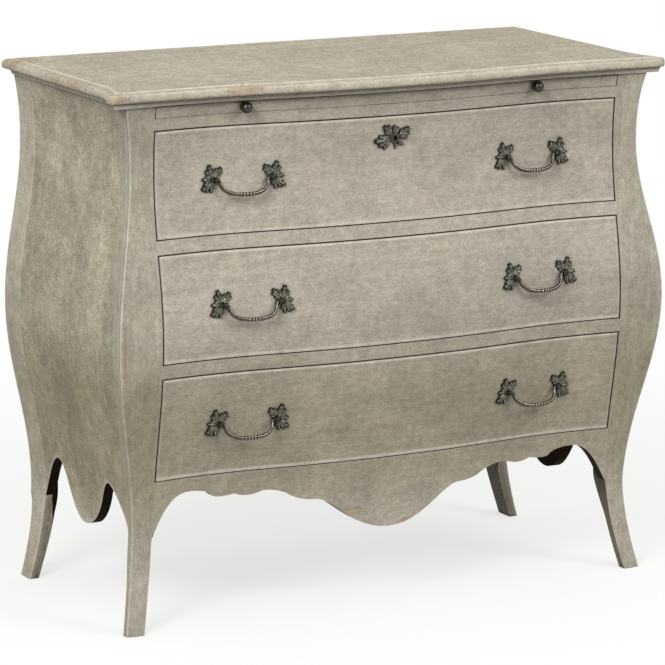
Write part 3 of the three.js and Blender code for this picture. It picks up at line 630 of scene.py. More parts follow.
def build_top():
    underside = HEIGHT - TOP_THICKNESS
    nose = underside + NOSE_LOW
    rings = [top_ring(MOULDING_FOOT, underside), top_ring(NOSE_LOW_ROUND, underside)]
    for turn in np.radians([20, 45, 70, 90]):
        across = NOSE_LOW_ROUND * (1 - math.sin(turn))
        rings.append(top_ring(across, nose - NOSE_LOW * math.cos(turn)))
    for turn in np.radians([10, 22, 34, 45, 56, 66, 76, 84, 90]):
        across = NOSE_HIGH_ROUND * (1 - math.cos(turn) ** NOSE_POWER)
        rise = NOSE_HIGH * math.sin(turn) ** NOSE_POWER
        rings.append(top_ring(max(across, 0.01), nose + rise))
    # A fine step up to the flat top, and rings that keep its wear by the edge
    rings.append(top_ring(15.1, HEIGHT - 0.9))
    rings += [top_ring(inset, HEIGHT) for inset in (16, 17.2, 18, 19)]
    around = len(rings[0])
    worn = np.repeat((0,) * 5 + (0.4,) * 5 + (0,) * 4 + (0.5, 1, 1, 1, 0, 0), around)
    # Painted shade on the underside, as a dark line below the nose
    grime = np.repeat((0.9,) * 2 + (0,) * 18, around)
    make("top", loft(np.array(rings)), top_paint, "carcass", "top_paint", ["top_board"],
         worn=worn, grime=grime)
    low, high = CASE_TOP + GLUE, underside - GLUE
    rings = []
    for share in np.linspace(0, 1, 8):
        inset = MOULDING_HEAD + (MOULDING_FOOT - MOULDING_HEAD) * (1 - share) ** 0.515
        rings.append(top_ring(inset, low + (high - low) * share))
    worn = np.repeat((0.1, 0.45, 0.45, 0.4, 0.35, 0.3, 0.1, 0), around)
    # Painted shade along its upper edge, under the top's nose
    grime = np.repeat((0, 0, 0, 0, 0, 0, 0.3, 0.9), around)
    make("top_moulding", loft(np.array(rings)), front_paint, "carcass", "front_paint",
         ["case_top"], worn=worn, grime=grime)


# Posts and legs


def knee(z, start, end):
    """From 0 to 1 between two heights, as shares of the ankle's height."""
    return min(1, max(0, (z / ANKLE - start) / (end - start)))


FACE_SHARES = np.concatenate([np.linspace(0, 0.88, 9), [0.95, 0.985, 1]])
SIDE_SHARES = (0.03, 0.12, 0.2, 0.27, 0.29, 0.36, 0.368, 0.41, 0.44, 0.55, 0.7, 0.85, 1)


def front_section(z):
    """Round a front post: its face, arris, strip, step and side."""
    half, depth = corner_half(z), corner_depth(z)
    leg_share = min(1, z / ANKLE)
    turned = knee(z, 0.5, 1.05)
    inner = half - blend(FOOT_WIDTH, LEG_WIDTH, leg_share)
    inner = blend(inner, OPENING, knee(z, 0.85, 1.1))
    leg_depth = FOOT_DEPTH + (LEG_DEPTH - FOOT_DEPTH) * leg_share
    back = depth - blend(leg_depth, POST_DEPTH, turned)
    edge = half - ARRIS
    x = inner + (edge - inner) * FACE_SHARES
    face = front_face(x, z) - blend(7, 2.5, knee(z, 0.85, 1.5)) * FACE_SHARES**2
    section = [(inner, back), (inner, face[0] - 1), *zip(x, face)]
    arris = face[-1] - ARRIS
    section += arc((edge, arris), ARRIS, 90, 0, 4)[1:]
    step = SIDE_STEP * min(1, max(0, (z - ANKLE * 1.15) / 40))
    taper = blend(0.25, 1, turned)
    for share in SIDE_SHARES:
        at = arris + (back - arris) * share
        swept = side_face(at + (depth - arris) * (1 - share), z)
        sunk = step * min(1, (1 - share) / 0.61) if share > 0.36 else 0
        section.append((half - (half - swept) * taper - sunk, at))
    return [(x, -y, z) for x, y in section]


def post_heights():
    leg = np.linspace(0, ANKLE * 0.85, 26)
    bend = np.linspace(ANKLE * 0.85, ANKLE * 1.5, 19)
    shaft = np.linspace(ANKLE * 1.5, CASE_TOP, 91)
    return np.concatenate([[0, 0.8], leg[1:], bend[1:], shaft[1:]])


# Shares of a rear post's face, between which its shaded inner part ends
WEDGE_SHARES = (0, 0.1, 0.2, 0.3, 0.4, 0.46, 0.5, 1)


def rear_section(z):
    """Round a rear post: its inner side, the face to the front, its side and back."""
    leg_share = min(1, z / REAR_LEG)
    bend = knee(z, 0.7, 1)
    back = REAR_FOOT_KICK * (1 - leg_share) ** 0.4
    front = blend(blend(REAR_FOOT_FRONT, REAR_LEG_FRONT, leg_share), REAR_POST, bend)
    inner = side_face(back, z) - blend(REAR_FOOT_WIDTH, REAR_LEG_WIDTH, leg_share)
    inner = blend(inner, OPENING, bend)
    outer_front, outer_back = side_face(front, z), side_face(back, z)
    across = outer_front - 2 - inner
    section = [(inner, back), (inner, front - 0.5)]
    section += [(inner + across * share, front) for share in WEDGE_SHARES]
    section += [(outer_front - 0.6, front - 0.4), (outer_front, front - 1.4)]
    section += [(side_face(front - cut, z), front - cut) for cut in (3, 6)]
    section += [(side_face(back + cut, z), back + cut) for cut in (12, 5)]
    section += [(outer_back, back + 2), (outer_back - 0.6, back + 0.6), (outer_back - 2, back)]
    return [(x, -y, z) for x, y in section]


def build_posts():
    heights = post_heights()
    front = np.array([front_section(z) for z in heights])
    rear = np.array([rear_section(z) for z in heights])
    # The arris, the far edge of the strip beside it, and painted shade on the step behind that
    face = len(FACE_SHARES) + 1
    side = face + 5
    worn = np.zeros(front.shape[:2])
    worn[:, face:side] = 0.72
    worn[:, [side + 4, side + 5]] = 0.9
    grime = np.zeros(front.shape[:2])
    grime[:, [side + 6, side + 7]] = 0.35
    # Painted shade on the posts' inner sides, darkest above the ankle
    shaded = np.interp(heights, (0, 60, 150, 190), (0.4, 0.5, 0.75, 0.97))
    grime[:, 0] = grime[:, 1] = shaded
    # The rear post's front corner and side, and its face, with painted shade on the inner part
    wedge = len(WEDGE_SHARES)
    rear_worn = np.zeros(rear.shape[:2])
    rear_worn[:, wedge + 1:wedge + 4] = 0.9
    rear_worn[:, wedge + 4:] = 0.35
    rear_grime = np.zeros(rear.shape[:2])
    rear_grime[:, 0] = rear_grime[:, 1] = shaded
    rear_grime[:, 2:wedge + 2] = 0.36 * np.clip((150 - heights) / 10, 0, 1)[:, None]
    for column, share in enumerate(WEDGE_SHARES[:-2]):
        rear_grime[:, column + 2] = np.clip((heights - 90 - 95 * share) / 4, 0.36, 1)
    front, rear = loft(front), loft(rear)
    # The right post has lighter painted shade on its inner side just behind the face, above the
    # apron
    right_post_shade = grime.copy()
    right_post_shade[:, 1] = np.where(heights > APRON_TOP, 0.3, shaded)
    for word, post, leg, post_shade in (("right", front, rear, right_post_shade),
                                    ("left", mirror(front), mirror(rear), grime)):
        make(f"post_front_{word}", post, post_paint, "carcass", "front_paint",
             [f"front_post_{word}"], worn=worn, grime=post_shade)
        make(f"post_rear_{word}", leg, side_paint, "carcass", "side_paint",
             [f"rear_post_{word}"], sharp=30, worn=rear_worn, grime=rear_grime)


# Sides and apron


def side_edge():
    """Lower edge of a side, as depth and height: two arches and a pendant."""
    middle, half, arch, pendant = DEPTH * 0.509, DEPTH * 0.224, 225.5, 135.5
    rear, front, low = middle - half, middle + half, arch - 26
    curves = [
        [(rear - 28, arch), (rear, arch)],
        [(rear + 14, arch), (rear + 27, low)],
        [(middle - 42, pendant), (middle, pendant)],
        [(middle + 42, pendant), (front - 27, low)],
        [(front - 14, arch), (front, arch)],
        [(front + 14, arch), (corner_depth(ANKLE) - POST_DEPTH, 162)],
    ]
    return curved_line((REAR_POST, 146), curves, 9)


def build_sides():
    start = REAR_POST + GLUE

    def end(z):
        return corner_depth(z) - POST_DEPTH

    depths, lows = side_edge().T
    shares = np.clip((depths - start) / (end(lows) - start), 0, 1)
    shares[-1] = 1
    rise = np.concatenate([[0, 0.002, 0.006, 0.012], np.linspace(0.02, 1, 58)])
    z = lows[:, None] + (CASE_TOP - lows[:, None]) * rise
    depth = start + (end(z) - start) * shares[:, None]
    outer = np.stack([side_face(depth, z), -depth, z], -1)
    inner = outer - (PANEL, 0, 0)
    body = slab(outer, inner, (-0.5, 0, 0))
    worn = np.zeros(outer.shape[:2])
    worn[:, :3] = 0.5
    worn = marks_of(worn, 0, 0)
    # Painted shade on the inner face and round the rim just behind the outer face
    grime = marks_of(np.zeros(outer.shape[:2]), 1, 1)
    for word, shape in (("right", body), ("left", mirror(body))):
        make(f"side_{word}", shape, side_paint, "carcass", "side_paint",
             [f"side_panel_{word}"], worn=worn, grime=grime)


def apron_edge():
    """Scalloped lower edge of the apron, as x and height, from the right end to the middle."""
    def at(drop):
        return APRON_TOP - drop

    arch, cusp, inner, shoulder, ledge = (OPENING * s for s in (0.847, 0.65, 0.51, 0.404, 0.32))
    outer_lobe, inner_lobe = cusp + 29, cusp - 21
    low = at(120.5)
    curves = [
        [(OPENING - 24, at(42)), (arch + 24, at(24)), (arch, at(24))],
        [(outer_lobe + 21, at(24)), (outer_lobe + 10.5, at(37))],
        [(outer_lobe, at(42)), (cusp, at(37))],
        [(inner_lobe, at(47.25)), (inner + 10.5, at(36))],
        [(inner - 21, at(36)), (shoulder, at(53))],
        [((shoulder + ledge) / 2, at(60)), (ledge, at(60))],
        [(ledge * 0.75, at(60)), (ledge * 0.5, low), (0, low)],
    ]
    return curved_line((OPENING, ANKLE), curves, 12)


def build_apron():
    right = apron_edge()
    edge = np.concatenate([right, right[-2::-1] * (-1, 1)])
    x = np.clip(edge[:, 0], GLUE - OPENING, OPENING - GLUE)[:, None]
    rise = np.concatenate([[0, 0.005, 0.015], np.linspace(0.04, 1, 14)])
    z = edge[:, 1, None] + (APRON_TOP - edge[:, 1, None]) * rise
    x = x + np.zeros_like(z)
    face = np.stack([x, -front_face(x, z), z], -1)
    # Painted shade on the back and just behind the rim, less of it behind the upper edge
    grime = marks_of(np.zeros(x.shape), 1, (0.95, 0.3))
    make("apron", slab(face, face + (0, APRON_THICKNESS, 0), (0, 0.5, 0)), front_paint, "carcass",
         "front_paint", ["front_apron"], grime=grime)


# Rails, drawer fronts and slide


# Distances from the rim to the lines on a rail's face
RIM = np.array([0, 0.5, 1.1, 2])


def board(x, z, back, drop=0):
    """A board that lies in the front, with a plane back."""
    front = np.stack([x, drop - front_face(x, z), z], -1)
    rear = np.stack([x, np.full_like(x, -back), z], -1)
    return slab(front, rear, (0, 1.5, 0), (0, 4, 0))


def rail_body(low, high, half, back):
    """A rail or slide front, with how near to its upper and lower edge and ends its face is."""
    x = np.concatenate([RIM - half, np.linspace(3 - half, half - 3, 95), half - RIM[::-1]])
    z = np.concatenate([low + RIM, [(low + high) / 2], high - RIM[::-1]])
    x, z = np.meshgrid(x, z, indexing="ij")
    return board(x, z, back), (high - z, z - low, half - np.abs(x))


def dark_rim(distances, widths, above=0.9):
    """Painted shade: 1 by the edges of the face, out to a width from each, and nearly so just
    behind them.

    above is what it is behind the upper edge."""
    shares = [1.3 - away / width for away, width in zip(distances, widths)]
    return marks_of(np.clip(np.maximum.reduce(shares), 0, 1), 0, (0.9, above), 0.1)


def drawer_floor(index):
    return APRON_TOP + (2 - index) * (DRAWER_OPENING + RAIL)


def build_rails():
    for index, node in enumerate(("slide_rail", "drawer_rail_1", "drawer_rail_2")):
        low = drawer_floor(index) + DRAWER_OPENING
        high = low + (SLIDE_RAIL if index == 0 else RAIL)
        back = front_face(HOLLOW, high) - RAIL_DEPTH
        body, distances = rail_body(low, high, OPENING - GLUE, back)
        # Painted shade by the upper and lower edges and behind them, narrower and lighter above
        # the drawer rails than above the slide rail
        upper, above = (0.25, 0.9) if index == 0 else (0.01, 0.4)
        grime = dark_rim(distances[:2], (upper, 0.5), above)
        make(f"rail_{index + 1}", body, front_paint, "carcass", "front_paint", [node], grime=grime)


# Shares of the lip's width, and how worn it is there by the upper and the lower edge
LIP_SHARES = np.array([0, 0.06, 0.16, 0.3, 0.48, 0.7, 1])
UPPER_STRIP = (0, 0.4, 0.9, 1, 0.7, 0.2, 0)
LOWER_STRIP = (1, 1.5, 1.5, 1.5, 1.4, 0.9, 0)


def lip_stations(low, high, count):
    lip = LIP * LIP_SHARES
    inner = np.linspace(low + LIP, high - LIP, count + 1)[1:-1]
    return np.concatenate([low + lip, inner, high - lip[::-1]])


def key_height():
    return drawer_floor(0) + DRAWER_OPENING / 2 + KEY_HEIGHT


def keyhole():
    """Outline of the keyhole as x and height, round its centre."""
    outline = [(-KEY_SLOT, -KEY_DROP), (KEY_SLOT, -KEY_DROP), (KEY_SLOT, -KEY_NECK)]
    outline += arc((0, 0), KEY_RADIUS, -57.6, 237.6, 12)
    return outline + [(-KEY_SLOT, -KEY_NECK)]


def cut_keyway(piece):
    """Cuts the keyhole through the top drawer's front."""
    before, behind = -500, -395
    rings = [[(x, y, z + key_height()) for x, z in keyhole()] for y in (before, behind)]
    points, faces = loft(np.array(rings))
    mesh = bpy.data.meshes.new("keyway")
    mesh.from_pydata((points * MM + (0, SHIFT, 0)).tolist(), [], faces)
    cutter = new_object("keyway", mesh)
    cut = piece.modifiers.new("keyway", "BOOLEAN")
    cut.object = cutter
    cut.solver = "EXACT"
    seen = piece.evaluated_get(bpy.context.evaluated_depsgraph_get())
    carved = bpy.data.meshes.new_from_object(seen)
    piece.modifiers.clear()
    piece.data = carved
    bpy.data.objects.remove(cutter)


def build_drawer_front(index):
    low = drawer_floor(index) + DRAWER_GAP
    high = drawer_floor(index) + DRAWER_OPENING - DRAWER_GAP
    half = OPENING - DRAWER_GAP
    back = min(front_face(HOLLOW, low), front_face(HOLLOW, high)) - FRONT_THICKNESS - LIP_DROP
    x, z = np.meshgrid(lip_stations(-half, half, 90), lip_stations(low, high, 24), indexing="ij")
    near = np.minimum(np.minimum(x + half, half - x), np.minimum(z - low, high - z))
    # The lip falls away at the top and ends, and has a low bead along its lower edge
    inside = np.clip(np.minimum(np.minimum(x + half, half - x), high - z) / LIP, 0, 1)
    drop = LIP_DROP * (1 - inside) ** 1.5
    drop -= BEAD_HEIGHT * np.exp(-(((z - low - BEAD_RISE) / BEAD_WIDTH) ** 2)) * inside
    lip = np.clip(1 - near / LIP, 0, 1)
    upper, lower = (np.interp(away / LIP, LIP_SHARES, strip)
                    for away, strip in ((high - z, UPPER_STRIP), (z - low, LOWER_STRIP)))
    lower = lower * (0.5 + 0.25 * index)
    worn = marks_of(np.maximum.reduce([0.6 * lip**0.6, upper, lower]), 0, 0, 0)
    bare = marks_of(np.zeros(lip.shape), 1, 0, 0.7)
    # Painted shade in the gaps round the front, and a soft painted shadow line at the upper lip's
    # inner edge
    grime = dark_rim((high - z, z - low, half + x, half - x), (0.9, 0.2, 2.3, 0.3))
    shoulder = 0.16 * np.exp(-(((high - z) / LIP - 0.85) / 0.25) ** 2)
    grime[:lip.size] = np.maximum(grime[:lip.size], shoulder.ravel())
    piece = make(f"front_{index + 1}", board(x, z, back, drop), front_paint,
                 f"drawer_{index + 1}", "front_paint", [f"drawer_{index + 1}_front"],
                 worn=worn, grime=grime, bare=bare)
    if index == 0:
        cut_keyway(piece)


def build_slide():
    joint = front_face(HOLLOW, SLIDE_BOTTOM) - 24
    body, distances = rail_body(SLIDE_BOTTOM, SLIDE_BOTTOM + SLIDE_THICKNESS, OPENING - 1.2, joint)
    # Painted shade in the gaps round the slide's face
    grime = 0.8 * dark_rim(distances, (0.5, 0.45, 0.8))
    bare = marks_of(np.zeros(distances[0].shape), 1, 0, 0.5)
    make("slide_face", body, front_paint, "brushing_slide", "front_paint", ["slide_front"],
         grime=grime, bare=bare)
    profile = [(0, -0.9), (6.2, -0.9), (6.4, 0.4), (6, 1.2), (4.7, 1.6), (4, 2.6)]
    profile += arc((0, 11.5), 9.5, -64, 90, 18)[1:]
    turns = turns_round(36)
    middle = SLIDE_BOTTOM + SLIDE_THICKNESS / 2
    base = front_face(KNOB, middle)
    for word, side in (("right", 1), ("left", -1)):
        rings = []
        for radius, out in profile:
            radius = max(radius, 0.02)
            rings.append([(side * KNOB + radius * math.cos(t), -base - out,
                           middle + radius * math.sin(t)) for t in turns])
        make(f"knob_{word}", loft(np.array(rings)), knob_bronze, "brushing_slide", "bronze",
             [f"slide_knob_{word}"])


# Cast leaves

# Each leaf round a pivot: its base, its lobes as angle from outwards up, length and half width
# in degrees, how high it lies and how much it curls up
LEAVES = (
    ((5, 4), ((75, 25.5, 34), (45, 20, 30), (112, 15, 30), (18, 13, 26)), 0.9, 1.6),
    ((1, 4), ((127, 24, 30), (106, 19.5, 22), (146, 20.5, 26), (172, 12, 24), (84, 12, 20)),
     0.2, 1.8),
    ((8, 1), ((3, 17.5, 36), (34, 12, 26), (-30, 13, 28)), 0.4, 1.2),
    ((6, -3), ((-33, 26.5, 24), (-53, 23, 22), (-84, 20, 24), (-14, 19, 22), (-112, 13, 24)),
     1.2, 1.4),
)
# The same round the keyhole, as angle from the right up
KEY_LEAVES = (
    ((-9, -3), ((181, 29.5, 32), (159, 23, 30), (205, 24, 30), (232, 19, 34), (134, 13, 30)),
     0.3, 1.5),
    ((-6, 5), ((135, 22.5, 34), (110, 18, 30), (160, 14, 32)), 1.1, 1.4),
    ((1, 7), ((104, 14, 44), (62, 11, 42), (134, 9, 36)), 0.4, 1.2),
    ((7, 4), ((33, 22.5, 34), (8, 20, 32), (-18, 17, 32), (58, 13, 34), (-42, 12, 32)),
     0.9, 1.5),
    ((5, -6), ((-24, 12.5, 30), (-50, 9, 26)), 0.3, 0.8),
    ((1, -8), ((-90, 10, 26),), 0.6, 0.5),
)
KEY_LEAF_SCALE = 1.12
LEAF_RINGS = np.array([0.0, 0.1, 0.2, 0.32, 0.45, 0.58, 0.7, 0.8, 0.88, 0.95, 1.0])
LOBE_SPREAD = 1.4
VEIN_PITCH = 2.7


def leaf(base, lobes, seat, curl):
    """A closed leaf as across, up and height over the wood, with pointed lobes and veins."""
    centres = np.radians([lobe[0] for lobe in lobes])
    turns = np.unique(np.concatenate([np.linspace(0, 2 * np.pi, 169)[:-1], centres % (2 * np.pi)]))
    away = np.abs((turns[None] - centres[:, None] + np.pi) % (2 * np.pi) - np.pi)
    lengths = np.array([lobe[1] for lobe in lobes])[:, None]
    widths = np.radians([lobe[2] * LOBE_SPREAD for lobe in lobes])[:, None]
    # Toothed lobes, of which the longest counts at each angle
    notch = 1 - 0.2 * np.abs((away / 0.11) % 2 - 1)
    reach = lengths * np.clip(1 - (away / widths) ** 1.1, 0, 1) * notch
    lead = reach.argmax(0)
    radius = np.maximum(reach.max(0), 2.4)
    off = away[lead, np.arange(len(turns))]
    share = LEAF_RINGS[:, None]
    distance = share * radius
    along, across = distance * np.cos(off), distance * np.sin(off)
    # A crown, a rib along each lobe and veins aslant from it
    height = 0.7 + 1.4 * (1 - share**2) * (1 - 0.45 * off / widths[lead, 0])
    height += 0.7 * np.exp(-((across / 0.6) ** 2)) * (1 - share**4)
    ribs = np.cos(2 * np.pi * (along - across) / VEIN_PITCH) * np.clip(across / 0.9, 0, 1)
    height += 0.24 * ribs * (1 - share**6)
    height += curl * (distance / lengths.max()) ** 2 + seat
    x = base[0] + distance * np.cos(turns)
    up = base[1] + distance * np.sin(turns)
    # Rubbed ribs and veins, and painted shade on the outline
    bright = np.maximum(np.exp(-((across / 0.4) ** 2)), 0.7 * np.clip(ribs * 4 - 3, 0, 1))
    bright = bright * np.clip(share * 3, 0, 1) * 0.9 - 1.5 * np.clip(share * 10 - 9, 0, 1)
    top = np.stack([x, up, height, bright], -1)
    # The underside carries painted shade
    under = top[-1].copy()
    under[:, 2:] = 0, -1
    core = np.array([[[base[0], base[1], 0, 0]] * len(turns)], float)
    core[0, :, :2] += 0.01 * (top[-1][:, :2] - base)
    top[0, :, :2] += 0.01 * (top[-1][:, :2] - base)
    return loft(np.concatenate([top, [under], core]))


def drape(body, x, z, side=1):
    """Lays a flat casting on the curved front, round a point."""
    points, faces = body
    across, up = x + side * points[:, 0], z + points[:, 1]
    depth = front_face(across, up) + LEAF_SEAT + points[:, 2]
    return np.column_stack([across, -depth, up, points[:, 3:]]), faces


def boss(radius, height, hole=None):
    """A domed boss, with a hole through it if an outline is given."""
    turns = turns_round(40)
    profile = [(radius, 0), (radius, height * 0.45), (radius * 0.9, height * 0.8)]
    profile.append((radius * 0.7, height))
    rings = [[(r * math.cos(t), r * math.sin(t), h) for t in turns] for r, h in profile]
    if hole is None:
        rings.append([(0.02 * math.cos(t), 0.02 * math.sin(t), height * 1.25) for t in turns])
        return loft(np.array(rings))
    rim = [hole_point(hole, t) for t in turns]
    for wider, taller, h in ((1.5, 1.2, 1), (1.25, 1.1, 1.25), (1, 1, 1.1), (1, 1, 0)):
        rings.append([(x * wider, z * taller, height * h) for x, z in rim])
    # Painted shade round the foot and inside the keyhole, and a rubbed crown
    shades = (-0.6, 0, 0, 0.2, -0.2, -0.7, -1, -1)
    rings = [[(*point, shade) for point in ring] for ring, shade in zip(rings, shades)]
    return tube(np.array(rings))


def hole_point(outline, turn):
    """Where a ray from the keyhole's middle meets its outline."""
    ray = np.array([math.cos(turn), math.sin(turn)])
    centre = np.array([0, -2.5])
    best = 0
    for a, b in zip(outline, outline[1:] + outline[:1]):
        a, b = np.array(a) - centre, np.array(b) - centre
        edge = b - a
        cross = ray[0] * edge[1] - ray[1] * edge[0]
        if abs(cross) < 1e-9:
            continue
        reach = (a[0] * edge[1] - a[1] * edge[0]) / cross
        share = (a[0] * ray[1] - a[1] * ray[0]) / cross
        if reach > 0 and -1e-6 <= share <= 1 + 1e-6:
            best = max(best, reach)
    return centre + ray * best


def ear():
    """Lug that carries a pin of the bail, seen along the pivot, with its bore."""
    turns = turns_round(32)
    foot = STANDOFF - 1.1

    def outline(t, trim):
        c, s = math.cos(t), math.sin(t)
        size = EAR_RADIUS - trim
        if c <= 0:
            return size * c, size * s
        scale = min(foot / c, size / max(abs(s), 1e-6))
        return scale * c, scale * s

    half, trimmed = EAR_HALF, 0.5
    stations = ((-half, trimmed), (trimmed - half, 0), (half - trimmed, 0), (half, trimmed))
    rings = [[(u, *outline(t, trim)) for t in turns] for u, trim in stations]
    rings += [[(u, BORE * math.cos(t), BORE * math.sin(t)) for t in turns] for u in (half, -half)]
    return tube(np.array(rings))


def pivot_frame(x, z):
    """Middle of a bail's pivots, the axes along it, back and up, and its half span."""
    ends = [np.array([x + s * PIVOT_HALF, -front_face(x + s * PIVOT_HALF, z) - STANDOFF, z])
            for s in (-1, 1)]
    axis = ends[1] - ends[0]
    span = np.linalg.norm(axis)
    axis = axis / span
    up = np.array([0, 0, 1.0])
    return (ends[0] + ends[1]) / 2, np.array([axis, np.cross(up, axis), up]), span / 2


def bail_line(span):
    """Points of half the bail, from the end of its pin to the middle of its grip."""
    pin = [(span + 4.5, 0), (span, 0), (span - 3.2, 0), (span - 4.6, 0.25), (span - 5.9, 1.1)]
    turns = np.radians(np.concatenate([[3.2, 5.5, 8.5], np.linspace(13, 90, 46)]))
    bow = [(BAIL_SPREAD * math.cos(t) ** BAIL_POWER, BAIL_DROP * math.sin(t) ** BAIL_POWER)
           for t in turns]
    bow[-1] = (0, BAIL_DROP)
    line = np.array(pin + bow)
    out = -BAIL_BOW * (line[:, 1] / BAIL_DROP) ** 2
    return np.column_stack([line[:, 0], out, -line[:, 1]])


def bail_section(start, middle):
    """Radius and depth of the flutes, by the lengths from an arm's start and the grip's middle."""
    if middle < RINGS_END:
        return RING_RADIUS + 0.5 * ring_share(middle), 0
    if middle < COLLAR_END:
        return COLLAR_RADIUS - 0.25 * (middle - RINGS_END), 1
    if start < -1:
        return PIN, 0
    full = BAIL_RADIUS + 0.5 * math.exp(-(((middle - 26) / 9) ** 2))
    return PIN + (full - PIN) * min(1, (start + 1) / 3), min(1, max(0, start / 3))


def ring_share(middle):
    """1 on the rings round the grip and 0 between them."""
    return abs(math.cos(math.pi * middle / RING_PITCH))


def bail(span):
    """A bail from pin to pin, with fluted arms and a ringed grip."""
    half = bail_line(span)
    path = np.concatenate([half, half[-2::-1] * (-1, 1, 1)])
    steps = np.linalg.norm(np.diff(path, axis=0), axis=1)
    place = np.concatenate([[0], np.cumsum(steps)])
    grip = np.abs(place - place[-1] / 2)
    start = np.minimum(place, place[-1] - place) - 9
    rings = []
    tangents = np.gradient(path, axis=0)
    for point, tangent, at, middle in zip(path, tangents, start, grip):
        tangent = tangent / np.linalg.norm(tangent)
        side = np.cross(tangent, (0, 1, 0))
        side = side / np.linalg.norm(side)
        face = np.cross(side, tangent)
        radius, fluted = bail_section(at, middle)
        ring = []
        for turn in turns_round(36):
            groove = 0.5 + 0.5 * math.cos(FLUTES * turn)
            out = radius * (1 - 0.1 * fluted * groove)
            # Painted highlight and shade: light on the crests of the grip's rings and dark between
            # them, and on the arms a painted highlight along one side and painted shade in the
            # flutes
            if middle < RINGS_END:
                bright = 2 * ring_share(middle) - 1.1
            else:
                wear_and_painted_highlight = 1.1 * math.exp(-(((turn - HIGHLIGHT_SIDE) / 0.9) ** 2))
                bright = fluted * (wear_and_painted_highlight * (1 - groove) ** 1.5 - 0.7 * groove**2)
            at_turn = point + out * (math.cos(turn) * face + math.sin(turn) * side)
            ring.append((*at_turn, bright))
        rings.append(ring)
    return loft(np.array(rings))


def placed(body, origin, axes):
    points, faces = body
    return np.column_stack([origin + points[:, :3] @ axes, points[:, 3:]]), faces


def build_handle(index, word, side):
    name = f"handle_{index + 1}_{word}"
    x, z = side * HANDLE, drawer_floor(index) + DRAWER_OPENING / 2
    origin, axes, span = pivot_frame(x, z)
    make(f"{name}_pull", placed(bail(span), origin, axes), bail_bronze, f"{name}_bail",
         "bronze", [f"{name}_bail"], sharp=60)
    lug = ear()
    for end, outwards in (("left", -1), ("right", 1)):
        at = x + outwards * PIVOT_HALF
        bodies = [drape(leaf(*facts), at, z, outwards) for facts in LEAVES]
        bodies.append(drape(boss(4, 2.6), at, z))
        points, faces = lug
        bodies.append(placed((points + (outwards * span, 0, 0), faces), origin, axes))
        make(f"{name}_leaves_{end}", gather(bodies), leaf_bronze, f"drawer_{index + 1}",
             "bronze", [f"{name}_leaf_{end}"], sharp=60)


def build_escutcheon():
    bodies = [leaf(*facts) for facts in KEY_LEAVES]
    larger = (KEY_LEAF_SCALE, KEY_LEAF_SCALE, 1, 1)
    bodies = [(points * larger, faces) for points, faces in bodies]
    bodies.append(boss(8.6, 2.4, keyhole()))
    bodies = [drape(body, 0, key_height()) for body in bodies]
    make("key_leaves", gather(bodies), leaf_bronze, "drawer_1", "bronze", ["escutcheon"], sharp=60)


build_top()
build_posts()
build_sides()
build_apron()
build_rails()
build_slide()
for number in range(3):
    build_drawer_front(number)
    for place_word, place_side in (("left", -1), ("right", 1)):
        build_handle(number, place_word, place_side)
build_escutcheon()

# Solids that stay get their wood and paint
FINISHES = {"back_panel": back_wood, "drawer_lock": lock_steel, "slide_board": front_paint}
for node_name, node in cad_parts.items():
    if not node.hide_render:
        grain_wood = wood_y if "side" in node_name or "runner" in node_name else wood_x
        node.data.materials.clear()
        node.data.materials.append(FINISHES.get(node_name, grain_wood))


# Camera, light and floor


# Where the photograph was taken from, in metres and radians of yaw, pitch and roll
CAMERA_PLACE = (-3.16561, -6.05305 + SHIFT, 1.80309)
CAMERA_TURNS = (0.49857848, 0.206014644, 0.00861104602)
CAMERA_LENS = 214.994
FLOOR_RADIUS = 20
LIGHT_SIZE = 2.4
LIGHT_AIM = Vector((0, 0, 0.45))


def build_camera():
    data = bpy.data.cameras.new("camera")
    data.sensor_width = 36
    data.lens = CAMERA_LENS
    camera = new_object("camera", data)
    yaw, pitch, roll = CAMERA_TURNS
    forward = Vector((math.sin(yaw) * math.cos(pitch), math.cos(yaw) * math.cos(pitch),
                      -math.sin(pitch)))
    level = Vector((math.cos(yaw), -math.sin(yaw), 0))
    upright = level.cross(forward)
    right = math.cos(roll) * level + math.sin(roll) * upright
    up = math.cos(roll) * upright - math.sin(roll) * level
    camera.matrix_world = Matrix([(right[i], up[i], -forward[i], CAMERA_PLACE[i])
                                  for i in range(3)] + [(0, 0, 0, 1)])
    data.clip_start, data.clip_end = 0.1, 100
    bpy.context.scene.camera = camera


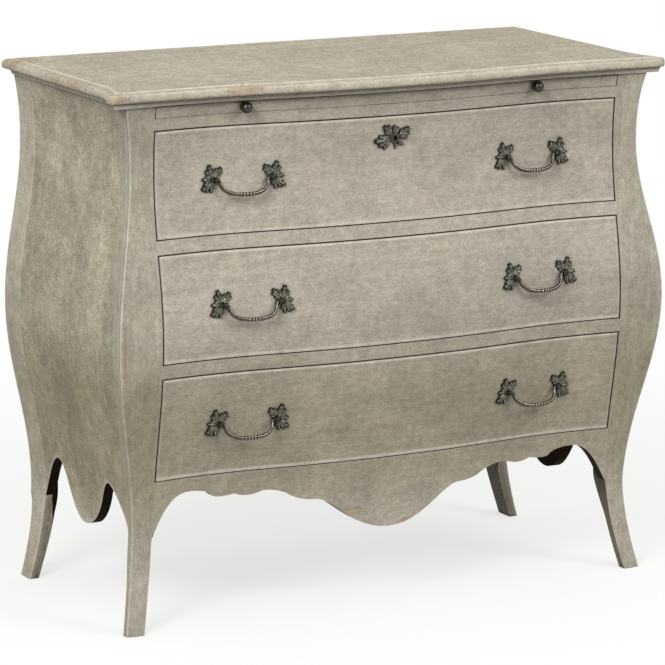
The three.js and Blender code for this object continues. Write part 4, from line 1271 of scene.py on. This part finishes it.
def build_light(name, place, power):
    data = bpy.data.lights.new(name, "AREA")
    data.shape = "DISK"
    data.size = LIGHT_SIZE
    data.energy = power
    lamp = new_object(name, data)
    lamp.location = place
    lamp.rotation_mode = "QUATERNION"
    lamp.rotation_quaternion = (LIGHT_AIM - Vector(place)).to_track_quat("-Z", "Y")


def build_world(strength):
    """Soft light from all around, and white for the camera."""
    world = bpy.data.worlds.new("studio")
    bpy.context.scene.world = world
    sky = Wiring(world)
    seen = sky.node("LightPath").outputs["Is Camera Ray"]
    soft = sky.node("Background", {0: (1, 0.99, 0.97, 1), 1: strength}).outputs[0]
    white = sky.node("Background", {0: (1, 1, 1, 1)}).outputs[0]
    mixed = sky.node("MixShader", {0: seen, 1: soft, 2: white}).outputs[0]
    sky.node("OutputWorld", {0: mixed})


def build_floor():
    """A wide pale disc that keeps the shadow and turns white away from the chest."""
    mesh = bpy.data.meshes.new("floor")
    rim = [(FLOOR_RADIUS * math.cos(t), FLOOR_RADIUS * math.sin(t), 0) for t in turns_round(120)]
    mesh.from_pydata(rim, [], [tuple(range(len(rim)))])
    floor = new_object("floor", mesh)
    f = Finish("floor")
    path = f.node("LightPath").outputs
    seen = f.math("MAXIMUM", path["Is Camera Ray"], path["Is Glossy Ray"])
    tone = f.mix(seen, colour(110, 108, 104), colour(249, 248, 247))
    f.surface({"Base Color": tone, "Roughness": 0.9, "Specular IOR Level": 0.1})
    reach = f.node("VectorMath", {0: f.place}, operation="LENGTH").outputs["Value"]
    far = f.math("MULTIPLY", f.between(reach, 0.6, 2.4, 0.68, 1), seen)
    white = f.node("Emission", {"Color": (1, 1, 1, 1), "Strength": 1}).outputs[0]
    mixed = f.node("MixShader", {0: far, 1: f.shader.outputs[0], 2: white}).outputs[0]
    f.feed(f.output, {0: mixed})
    mesh.materials.append(f.material)


build_camera()
build_world(0.63)
build_light("key", (2.65, -3.78, 3.45), 92)
build_light("fill", (-3.78, -2.65, 3.45), 163)
build_floor()
bpy.context.scene.view_settings.view_transform = "Standard"
